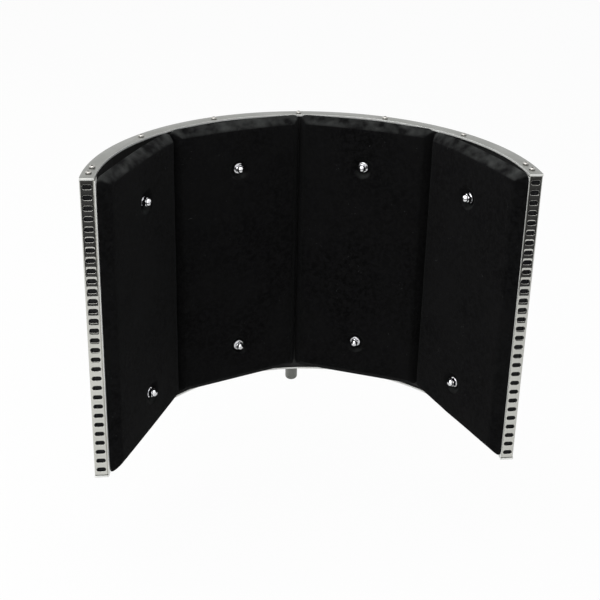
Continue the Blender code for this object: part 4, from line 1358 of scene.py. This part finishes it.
class FILTER_OT_boards(bpy.types.Operator):
    """Make the boards that carry the pads"""

    bl_idname = "filter.boards"
    bl_label = "Panel boards"

    def execute(self, context):
        sizes = context.scene.filter_panels
        for number, turn in enumerate(PANEL_TURNS, 1):
            name = f"panel_board_{number}"
            low, high = panel_box(name, turn)
            left = low.x + (sizes.board_inset if number == 1 else sizes.board_margin)
            right = high.x - (sizes.board_inset if number == PANELS else sizes.board_margin)
            foot = pad_foot(number) + 2 * sizes.board_margin
            top = sizes.pad_top - 3 * sizes.board_margin
            corners = [(left, foot), (right, foot), (right, top), (left, top)]
            outline = rounded(corners, [sizes.corner_round] * 4)
            holes = [circle((0, height), 2.8 * MM, 32) for height in bolt_heights()]
            board = bevelled(prism([outline, *holes], -high.y, -low.y), 0.3 * MM, 2, 40)
            board.transform(around(turn) @ Matrix.Rotation(math.pi / 2, 4, "X"))
            piece(f"board_{number}", board, "black_board", "filter", [name])
        return {"FINISHED"}


class FILTER_OT_pads(bpy.types.Operator):
    """Make the four felt-covered absorber pads"""

    bl_idname = "filter.pads"
    bl_label = "Absorber pads"

    def execute(self, context):
        sizes = context.scene.filter_panels
        for number, turn in enumerate(PANEL_TURNS, 1):
            name = f"absorber_pad_{number}"
            low, high = panel_box(name, turn)
            outer = (number == 1, number == PANELS)
            foot = pad_foot(number)
            bolts = [height - foot for height in bolt_heights()]
            folds = [any(outer) and not end for end in outer]
            sag = [sizes.fold_draw if fold else sizes.corner_draw for fold in folds]
            lift = [sizes.corner_draw * fold for fold in folds]
            mesh = pad(-low.x, high.x, sizes.pad_top - foot, high.y - low.y, bolts, sag, lift, number * 3.7)
            mesh.transform(around(turn) @ Matrix.Translation((0, low.y, foot)))
            made = piece(f"felt_pad_{number}", mesh, "black_felt", "filter", [name], angle=60)
        return {"FINISHED"}


def dome_nut():
    """A plated dome nut on its washer, the seat at Z = 0."""
    corner = 8 * MM / math.sqrt(3)
    collar = turned(
        [
            (0, 1.4 * MM),
            (5.0 * MM, 1.4 * MM),
            (5.3 * MM, 1.25 * MM),
            (5.4 * MM, 1 * MM),
            (5.4 * MM, 0.15 * MM),
            (5.25 * MM, 0),
            (0, 0),
        ],
        48,
    )
    nut = cylinder(corner, 1.0 * MM, 5 * MM, 6)
    trim = turned(
        [
            (0, 5 * MM),
            (3.9 * MM, 5 * MM),
            (corner + 0.02 * MM, 4.35 * MM),
            (corner + 0.02 * MM, 1.75 * MM),
            (4.1 * MM, 1.4 * MM),
            (0, 1.4 * MM),
        ],
        48,
    )
    nut = combined(nut, [trim], "INTERSECT")
    dome_radius = 3.8 * MM
    rise = [math.pi / 2 * step / 10 for step in range(11)]
    dome = [(dome_radius * math.sin(turn), 5.0 * MM + 4.0 * MM * math.cos(turn)) for turn in rise]
    cap = turned([*dome, (3.4 * MM, 4.8 * MM), (3.4 * MM, 2 * MM), (0, 2 * MM)], 48)
    return combined(nut, [cap, collar], "UNION")


class FILTER_OT_panel_fixings(bpy.types.Operator):
    """Make the panel bolts at the back and the dome nuts in front"""

    bl_idname = "filter.panel_fixings"
    bl_label = "Panel bolts and nuts"

    def execute(self, context):
        outside = SKIN_RADIUS + GAP
        seat = panel_box("dome_nut_1", PANEL_TURNS[0])[1].y
        places = [(turn, height) for turn in PANEL_TURNS for height in bolt_heights()]
        bolt = socket_head(5 * MM, 2.8 * MM, 1.75 * MM, 1.6 * MM, 2.5 * MM, outside - seat + 4.5 * MM)
        spots = [outward(turn, outside, height) for turn, height in places]
        bolts = placed(bolt, spots, "bright_chrome")
        names = [f"panel_bolt_{number}" for number in range(1, 2 * PANELS + 1)]
        piece("panel_bolts", bolts, "bright_chrome", "filter", names)
        spots = [inward(turn, seat, height) for turn, height in places]
        nuts = placed(dome_nut(), spots, "bright_chrome")
        names = [f"dome_nut_{number}" for number in range(1, 2 * PANELS + 1)]
        piece("dome_nuts", nuts, "bright_chrome", "filter", names, angle=30)
        return {"FINISHED"}


# Post and brackets


class FILTER_OT_post(bpy.types.Operator):
    """Make the rear post with its rounded ends"""

    bl_idname = "filter.post"
    bl_label = "Rear post"

    def execute(self, context):
        radius = (POST_HIGH.x - POST_LOW.x) / 2
        soft = 3.5 * MM
        turns = [math.pi / 2 * step / 10 for step in range(11)]
        edge = [(radius - soft + soft * math.sin(turn), soft * (1 - math.cos(turn))) for turn in turns]
        top = [(reach, POST_HIGH.z - drop) for reach, drop in edge]
        low = [(reach, POST_LOW.z + drop) for reach, drop in reversed(edge)]
        mesh = turned([(0, POST_HIGH.z), *top, *low, (0, POST_LOW.z)], 96)
        mesh.transform(Matrix.Translation(POST_AXIS))
        piece("post", mesh, "satin_post_painted_shade", "filter", ["rear_post"])
        return {"FINISHED"}


def bracket_outline():
    """A bracket seen from above: a curved foot on the shell and a nose round the post."""
    seat = SKIN_RADIUS + GAP
    half = 27 * MM
    back = seat + 6 * MM
    nose = 12 * MM
    reach = math.asin(half / seat)
    quarter = math.pi / 2
    outline = arc((0, 0), seat, quarter + reach, quarter - reach, 32)
    outline += arc((half - 2 * MM, back - 2 * MM), 2 * MM, 0, quarter, 5)
    fillet = 3 * MM
    outline += arc((nose + fillet, back + fillet), fillet, -quarter, -2 * quarter, 6)
    outline += arc((0, POST_SETBACK), nose, 0, math.pi, 40)
    outline += arc((-nose - fillet, back + fillet), fillet, 0, -quarter, 6)
    outline += arc((-half + 2 * MM, back - 2 * MM), 2 * MM, quarter, 2 * quarter, 5)
    return outline


class FILTER_OT_brackets(bpy.types.Operator):
    """Make the two brackets of the post and their screws"""

    bl_idname = "filter.brackets"
    bl_label = "Brackets"

    def execute(self, context):
        back = RADIUS - 1 * MM + 6 * MM
        bore = circle((0, POST_SETBACK), 7.3 * MM, 48)
        lie = Matrix.Rotation(-math.pi / 2, 4, "X")
        screw_x = 20 * MM
        heights = []
        for name in ("lower_bracket", "upper_bracket"):
            low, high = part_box(name)
            heights.append((low.z + high.z) / 2 - ARC_CENTRE.z)
            half = (high.z - low.z) / 2
            body = prism([bracket_outline(), bore], -half, half)
            drills = []
            for side in (-1, 1):
                drill = cylinder(2.5 * MM, RADIUS - 20 * MM, POST_SETBACK, 24)
                drill.transform(Matrix.Translation((side * screw_x, 0, 0)) @ lie)
                drills.append(drill)
            body = bevelled(combined(body, drills), 0.5 * MM, 2, 40)
            body.transform(Matrix.Translation(ARC_CENTRE + Vector((0, 0, heights[-1]))))
            piece(f"{name}_body", body, "anodised_block", "filter", [name])
        screw = socket_head(4.2 * MM, 2.6 * MM, 1.5 * MM, 1.4 * MM, 2.2 * MM, 15 * MM)
        places = [
            Matrix.Translation(ARC_CENTRE + Vector((side * screw_x, back, height))) @ lie
            for height in heights
            for side in (-1, 1)
        ]
        mesh = placed(screw, places, "bright_chrome")
        names = [f"bracket_screw_{number}" for number in range(1, 5)]
        piece("bracket_screws", mesh, "bright_chrome", "filter", names)
        return {"FINISHED"}


# Stand clamp


def at_post(mesh):
    """Bring a piece from the post's own frame into place."""
    mesh.transform(Matrix.Translation(POST_AXIS))
    return mesh


def rounded(points, radii, steps=5):
    """A closed outline whose corners are rounded by their own radii."""
    outline = []
    count = len(points)
    for index, (corner, radius) in enumerate(zip(points, radii)):
        here = Vector(corner)
        before = Vector(points[index - 1]) - here
        after = Vector(points[(index + 1) % count]) - here
        if radius <= 0:
            outline.append(tuple(here))
            continue
        half = before.angle(after) / 2
        cut = min(radius / math.tan(half), before.length * 0.49, after.length * 0.49)
        radius = cut * math.tan(half)
        start = here + before.normalized() * cut
        finish_at = here + after.normalized() * cut
        centre = here + (before.normalized() + after.normalized()).normalized() * (radius / math.sin(half))
        first = start - centre
        sweep = first.angle_signed(finish_at - centre)
        for step in range(steps + 1):
            turn = -sweep * step / steps
            spun = Vector((
                first.x * math.cos(turn) - first.y * math.sin(turn),
                first.x * math.sin(turn) + first.y * math.cos(turn),
            ))
            outline.append(tuple(centre + spun))
    return outline


class FILTER_OT_clamp_block(bpy.types.Operator):
    """Make the split block that grips the post and the stand"""

    bl_idname = "filter.clamp_block"
    bl_label = "Clamp block"

    def execute(self, context):
        low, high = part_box("clamp_block")
        half = (high.z - low.z) / 2
        nose = BLOCK_NOSE
        waist = 26.6 * MM
        jaw_seat = 44 * MM
        apex = 34 * MM
        inner = -17.5 * MM
        outer = -26 * MM
        front = 82 * MM
        rear = 96 * MM
        shoulder = 18 * MM
        mouth = 10 * MM
        arm = 14 * MM
        outline = arc((0, 0), nose, math.pi, 2 * math.pi, 40)
        rest = [
            (nose, waist), (shoulder, waist + shoulder - nose), (shoulder, jaw_seat), (mouth, jaw_seat),
            (0, apex), (-mouth, jaw_seat), (inner, jaw_seat), (inner, front), (arm, front), (arm, rear),
            (outer, rear), (outer, waist - outer - nose), (-nose, waist),
        ]
        soft = [2, 2, 1.5, 0.6, 0.4, 0.6, 3, 3, 1.5, 4, 8, 4, 4]
        ring = rounded([(nose, 2 * MM), *rest, (-nose, 2 * MM)], [0, *(value * MM for value in soft), 0])
        outline += ring
        bore = 10.3 * MM
        slit = 1.5 * MM
        slit_end = 25.5 * MM
        lean = math.asin(slit / bore)
        start = math.pi / 2 + lean
        keyhole = arc((0, 0), bore, start, start + math.tau - 2 * lean, 64)
        keyhole += [(slit, slit_end), *arc((0, slit_end), slit, 0, math.pi, 8)[1:-1], (-slit, slit_end)]
        block = prism([outline, keyhole], -half, half)
        across = Matrix.Translation((0, PINCH_REACH, 0)) @ Matrix.Rotation(math.pi / 2, 4, "Y")
        drill = cylinder(3.3 * MM, -30 * MM, 30 * MM, 32)
        drill.transform(across)
        thread = cylinder(5.3 * MM, 77 * MM, 101 * MM, 40)
        thread.transform(Matrix.Rotation(-math.pi / 2, 4, "X"))
        block = bevelled(combined(block, [drill, thread]), 0.6 * MM, 2, 40)
        piece("grip_block", at_post(block), "anodised_block", "stand_clamp", ["clamp_block"])
        head = 10 * MM / math.sqrt(3)
        seat = -nose - GAP
        crown = seat - 4 * MM
        tip = 26.8 * MM
        hexagon = cylinder(head, crown, seat, 6)
        wide = head + 0.02 * MM
        trim = turned(
            [(0, seat), (wide, seat), (wide, crown + 0.5 * MM), (head * 0.86, crown), (0, crown)], 48
        )
        hexagon = combined(hexagon, [trim], "INTERSECT")
        inside = seat - 2 * MM
        shank = turned(
            [(0, tip), (2.6 * MM, tip), (3 * MM, tip - 0.4 * MM), (3 * MM, inside), (0, inside)], 40
        )
        bolt = combined(hexagon, [shank], "UNION")
        bolt.transform(across)
        piece("pinch_bolt_body", at_post(bolt), "bright_chrome", "stand_clamp", ["pinch_bolt"])
        return {"FINISHED"}


class FILTER_OT_bush(bpy.types.Operator):
    """Make the split bush that the post slides in"""

    bl_idname = "filter.bush"
    bl_label = "Post bush"

    def execute(self, context):
        half = 18.3 * MM
        end = half + 2 * MM
        soft = 0.4 * MM
        edge = 0.1 * MM
        flange = 13 * MM
        outer = 10 * MM
        bore = 7.3 * MM
        sleeve = turned(
            [
                (flange - soft, end), (flange, end - soft), (flange, half + edge), (flange - edge, half),
                (outer, half), (outer, -half), (flange - edge, -half), (flange, -half - edge),
                (flange, -end + soft), (flange - soft, -end), (bore + soft, -end), (bore, -end + soft),
                (bore, end - soft), (bore + soft, end),
            ],
            96,
            closed=True,
        )
        slit = box((-1 * MM, 0, -30 * MM), (1 * MM, 30 * MM, 30 * MM))
        sleeve = combined(sleeve, [slit])
        piece("bush", at_post(sleeve), "natural_nylon", "bush", ["post_bush"])
        return {"FINISHED"}


class FILTER_OT_lever(bpy.types.Operator):
    """Make the lever that pinches the block on the post"""

    bl_idname = "filter.lever"
    bl_label = "Lock lever"

    def execute(self, context):
        splay = math.radians(12)
        length = 11.7 * MM
        radius = 7 * MM
        reach = 48 * MM
        hub = turned(
            [
                (0, length), (radius - 2.4 * MM, length), (radius - 1.2 * MM, length - 0.4 * MM),
                (radius - 0.4 * MM, length - 1.3 * MM), (radius, length - 2.6 * MM), (radius, 0.5 * MM),
                (radius - 0.5 * MM, 0), (0, 0),
            ],
            64,
        )
        hub.transform(Matrix.Rotation(math.pi / 2, 4, "Y"))
        steps = 28
        path = []
        for step in range(steps + 1):
            share = step / steps
            waist = 3.4 + 1.2 * soft_step((share - 0.25) / 0.6)
            tip = math.sqrt(max(0.0, 1 - max(0.0, (share - 0.9) / 0.1) ** 2))
            path.append((waist * tip * MM, -reach * share))
        arm = turned([(0, 0), *path[:-1], (0, -reach)], 40)
        arm.transform(Matrix.Translation((length / 2, 0, 0)) @ Matrix.Rotation(-splay, 4, "Y"))
        bore = cylinder(3.3 * MM, -20 * MM, 30 * MM, 40)
        bore.transform(Matrix.Rotation(math.pi / 2, 4, "Y"))
        lever = combined(combined(hub, [arm], "UNION"), [bore])
        lever.transform(Matrix.Translation((BLOCK_NOSE + 2 * GAP, PINCH_REACH, 0)))
        nodes = ["lock_lever"]
        piece("lever", at_post(lever), "moulded_plastic", "lock_lever", nodes, angle=50)
        return {"FINISHED"}


class FILTER_OT_jaw(bpy.types.Operator):
    """Make the jaw pad, its rubber face, the jaw screw and the knob"""

    bl_idname = "filter.jaw"
    bl_label = "Jaw and knob"

    def execute(self, context):
        backwards = Matrix.Rotation(-math.pi / 2, 4, "X")
        for name, node, body, look, slot in (
            ("jaw_plate", "jaw_pad", "jaw", "anodised_block", "anodised"),
            ("jaw_rubber", "jaw_face", "jaw", "rubber_face", "rubber"),
        ):
            low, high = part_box(node)
            plate = box(low, high)
            if node == "jaw_face":
                plate = combined(plate, self.grooves(low, high))
            plate = bevelled(plate, 0.35 * MM if node == "jaw_face" else 0.8 * MM, 2, 40)
            piece(name, plate, look, body, [node])
        self.screw(backwards)
        self.knob(backwards)
        return {"FINISHED"}

    def grooves(self, low, high):
        """The cutters of the rubber's grooves."""
        past = 1 * MM
        half = 0.4 * MM
        cutters = []
        for step in range(-3, 4):
            middle = step * 3 * MM
            near = (low.x - past, low.y - past, middle - half)
            far = (high.x + past, low.y + 0.6 * MM, middle + half)
            cutters.append(box(near, far))
        return cutters

    def screw(self, backwards):
        """The threaded rod with its plain tip."""
        low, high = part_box("jaw_screw")
        start = low.y - POST_Y
        end = high.y - POST_Y
        outer = 5 * MM
        root = outer - 0.75 * MM
        tip = 3 * MM
        pitch = 1.5 * MM
        neck = start + 2.8 * MM
        profile = [(0, end), (outer - 0.8 * MM, end)]
        turns = int((end - neck) / pitch)
        for index in range(turns):
            place = end - 0.3 * MM - index * pitch
            profile += [(root, place), (outer, place - pitch * 0.45), (outer, place - pitch * 0.55)]
        profile += [(root, neck), (tip, neck), (tip, start + 0.4 * MM), (tip - 0.4 * MM, start), (0, start)]
        screw = turned(profile, 40)
        screw.transform(backwards)
        piece("threaded_rod", at_post(screw), "bright_chrome", "jaw_screw", ["jaw_screw"], angle=20)

    def knob(self, backwards):
        """The lobed knob on the screw's end."""
        low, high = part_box("jaw_knob")
        start = low.y - POST_Y
        end = high.y - POST_Y
        lobes = 6
        shape = bmesh.new()
        rings = []
        profile = [
            (0.55, 0.0), (0.86, 0.0), (0.95, 0.035), (1.0, 0.1), (1.0, 0.5), (1.0, 0.82), (0.985, 0.9),
            (0.95, 0.96), (0.88, 0.995), (0.7, 1.0), (0.62, 0.98), (0.55, 0.93), (0.3, 0.93),
        ]
        points = 144
        reach = 18 * MM
        for share, rise in profile:
            height = start + rise * (end - start)
            ring = []
            for index in range(points):
                turn = math.tau * index / points
                wave = (1 - math.cos(lobes * turn)) / 2
                lobe = reach - 2.2 * MM * wave ** 1.4
                radius = share * (lobe if share > 0.72 else reach * 0.94)
                ring.append(shape.verts.new((radius * math.cos(turn), radius * math.sin(turn), height)))
            rings.append(ring)
        for ring, above in zip(rings, rings[1:]):
            for index in range(points):
                after = (index + 1) % points
                shape.faces.new((ring[index], ring[after], above[after], above[index]))
        shape.faces.new(list(reversed(rings[0])))
        shape.faces.new(rings[-1])
        bmesh.ops.recalc_face_normals(shape, faces=shape.faces)
        knob = from_bmesh(shape)
        bore = cylinder(5.3 * MM, start - 2 * MM, end - 6 * MM, 48)
        knob = combined(knob, [bore])
        knob.transform(backwards)
        nodes = ["jaw_knob"]
        piece("hand_knob", at_post(knob), "moulded_plastic", "jaw_screw", nodes, angle=30)


# Studio


def floor_material():
    """A pale floor that shows nearly white to the camera and keeps a faint shadow."""
    made = bpy.data.materials.new("pale_floor")
    made.use_nodes = True
    tree = made.node_tree
    tree.nodes.clear()
    end = tree.nodes.new("ShaderNodeOutputMaterial")
    diffuse = add_node(tree, "ShaderNodeBsdfDiffuse", {"Color": (0.82, 0.82, 0.8, 1.0)})
    glow = add_node(tree, "ShaderNodeEmission", {"Color": (1.0, 1.0, 1.0, 1.0), "Strength": 1.0})
    path = tree.nodes.new("ShaderNodeLightPath")
    share = calculate(tree, "MULTIPLY", path.outputs["Is Camera Ray"], 0.95)
    mix = add_node(tree, "ShaderNodeMixShader", {0: share, 1: diffuse.outputs[0], 2: glow.outputs[0]})
    tree.links.new(mix.outputs[0], end.inputs["Surface"])
    return made


def area_lamp(name, place, aim, size, energy):
    """A soft rectangular lamp pointed at a spot."""
    lamp = bpy.data.lights.new(name, "AREA")
    lamp.shape = "RECTANGLE"
    lamp.size, lamp.size_y = size
    lamp.energy = energy
    holder = bpy.data.objects.new(name, lamp)
    holder.location = place
    holder.rotation_mode = "QUATERNION"
    holder.rotation_quaternion = (Vector(aim) - Vector(place)).to_track_quat("-Z", "Y")
    bpy.context.scene.collection.objects.link(holder)
    return holder


class FILTER_OT_stage(bpy.types.Operator):
    """Make the floor, the lamps, the white surroundings and the camera"""

    bl_idname = "filter.stage"
    bl_label = "Studio"

    def execute(self, context):
        scene = context.scene
        sizes = scene.filter_studio
        foot = CAD_LOW[2]
        level = foot - sizes.room_below
        floor = bpy.data.objects.new("floor", box((-12, -12, level - 0.02), (12, 12, level)))
        floor.data.materials.append(floor_material())
        scene.collection.objects.link(floor)
        near = (-3, -5, foot + 0.002)
        far = (3, -sizes.card_edge, foot + 0.004)
        card = bpy.data.objects.new("dark_card", box(near, far))
        dark, _, shader = blank_material("dark_card", 1.0)
        shader.inputs["Base Color"].default_value = (0.01, 0.01, 0.01, 1.0)
        card.data.materials.append(dark)
        card.visible_camera = False
        card.visible_diffuse = False
        card.visible_shadow = False
        scene.collection.objects.link(card)
        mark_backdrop(floor, card)

        world = bpy.data.worlds.new("white_studio")
        world.use_nodes = True
        tree = world.node_tree
        tree.nodes.clear()
        end = tree.nodes.new("ShaderNodeOutputWorld")
        light = add_node(tree, "ShaderNodeBackground", {"Color": (0.95, 0.97, 1.0, 1.0), "Strength": 0.45})
        white = add_node(tree, "ShaderNodeBackground", {"Color": (1.0, 1.0, 1.0, 1.0), "Strength": 1.0})
        path = tree.nodes.new("ShaderNodeLightPath")
        seen = calculate(tree, "MAXIMUM", path.outputs["Is Camera Ray"], path.outputs["Is Glossy Ray"])
        seen = calculate(tree, "MAXIMUM", seen, path.outputs["Is Transmission Ray"])
        mix = add_node(tree, "ShaderNodeMixShader", {0: seen, 1: light.outputs[0], 2: white.outputs[0]})
        tree.links.new(mix.outputs[0], end.inputs["Surface"])
        scene.world = world

        middle = (0, ARC_CENTRE.y + 0.1, 0)
        area_lamp("overhead", (-0.3, -0.3, 1.7), middle, (1.8, 1.8), 24)
        area_lamp("front_fill", (-1.1, -1.9, 0.9), middle, (1.0, 1.0), 8.5)
        area_lamp("back_rim", (-1.5, 1.0, 1.0), middle, (1.5, 1.5), 5)

        scene.view_settings.view_transform = "Standard"
        lens = bpy.data.cameras.new("camera")
        lens.sensor_width = 36
        lens.lens = 62.32
        lens.shift_x = -0.0616
        lens.shift_y = -0.2
        camera = bpy.data.objects.new("camera", lens)
        pitch = math.radians(19.995)
        yaw = math.radians(7.566)
        roll = math.radians(2.058)
        forward = Vector((math.sin(yaw) * math.cos(pitch), math.cos(yaw) * math.cos(pitch), -math.sin(pitch)))
        level = Vector((math.cos(yaw), -math.sin(yaw), 0))
        upright = level.cross(forward)
        right = level * math.cos(roll) + upright * math.sin(roll)
        up = upright * math.cos(roll) - level * math.sin(roll)
        turn = Matrix((right, up, -forward)).transposed()
        place = ARC_CENTRE + Vector((-97.09, -859.53, 619.64)) * MM
        camera.matrix_world = Matrix.Translation(place) @ turn.to_4x4()
        scene.collection.objects.link(camera)
        scene.camera = camera
        return {"FINISHED"}


class FILTER_PT_panel(bpy.types.Panel):
    """Sizes, colours and the pieces to build"""

    bl_idname = "FILTER_PT_panel"
    bl_label = "Reflection filter"
    bl_space_type = "VIEW_3D"
    bl_region_type = "UI"
    bl_category = "Reflection filter"

    def draw(self, context):
        layout = self.layout
        scene = context.scene
        for group in (scene.filter_shell, scene.filter_panels, scene.filter_finishes, scene.filter_studio):
            column = layout.column(align=True)
            for name in group.__annotations__:
                column.prop(group, name)
        for operator in OPERATORS:
            layout.operator(operator.bl_idname)


OPERATORS = (
    FILTER_OT_outer_skin,
    FILTER_OT_end_rails,
    FILTER_OT_ring_plates,
    FILTER_OT_tie_bolts,
    FILTER_OT_inner_layers,
    FILTER_OT_boards,
    FILTER_OT_pads,
    FILTER_OT_panel_fixings,
    FILTER_OT_post,
    FILTER_OT_brackets,
    FILTER_OT_clamp_block,
    FILTER_OT_bush,
    FILTER_OT_lever,
    FILTER_OT_jaw,
    FILTER_OT_stage,
)
GROUPS = (ShellSizes, PanelSizes, Finishes, StudioSizes)


def register():
    """Register the property groups, operators and panel."""
    for group in GROUPS:
        bpy.utils.register_class(group)
    bpy.types.Scene.filter_shell = bpy.props.PointerProperty(type=ShellSizes)
    bpy.types.Scene.filter_panels = bpy.props.PointerProperty(type=PanelSizes)
    bpy.types.Scene.filter_finishes = bpy.props.PointerProperty(type=Finishes)
    bpy.types.Scene.filter_studio = bpy.props.PointerProperty(type=StudioSizes)
    for operator in OPERATORS:
        bpy.utils.register_class(operator)
    bpy.utils.register_class(FILTER_PT_panel)


def unregister():
    """Take everything out again."""
    bpy.utils.unregister_class(FILTER_PT_panel)
    for operator in reversed(OPERATORS):
        bpy.utils.unregister_class(operator)
    del bpy.types.Scene.filter_studio
    del bpy.types.Scene.filter_finishes
    del bpy.types.Scene.filter_panels
    del bpy.types.Scene.filter_shell
    for group in reversed(GROUPS):
        bpy.utils.unregister_class(group)


def main():
    """Build every piece in order."""
    register()
    bpy.ops.filter.outer_skin()
    bpy.ops.filter.end_rails()
    bpy.ops.filter.ring_plates()
    bpy.ops.filter.tie_bolts()
    bpy.ops.filter.inner_layers()
    bpy.ops.filter.boards()
    bpy.ops.filter.pads()
    bpy.ops.filter.panel_fixings()
    bpy.ops.filter.post()
    bpy.ops.filter.brackets()
    bpy.ops.filter.clamp_block()
    bpy.ops.filter.bush()
    bpy.ops.filter.lever()
    bpy.ops.filter.jaw()
    bpy.ops.filter.stage()


if __name__ == "__main__":
    main()
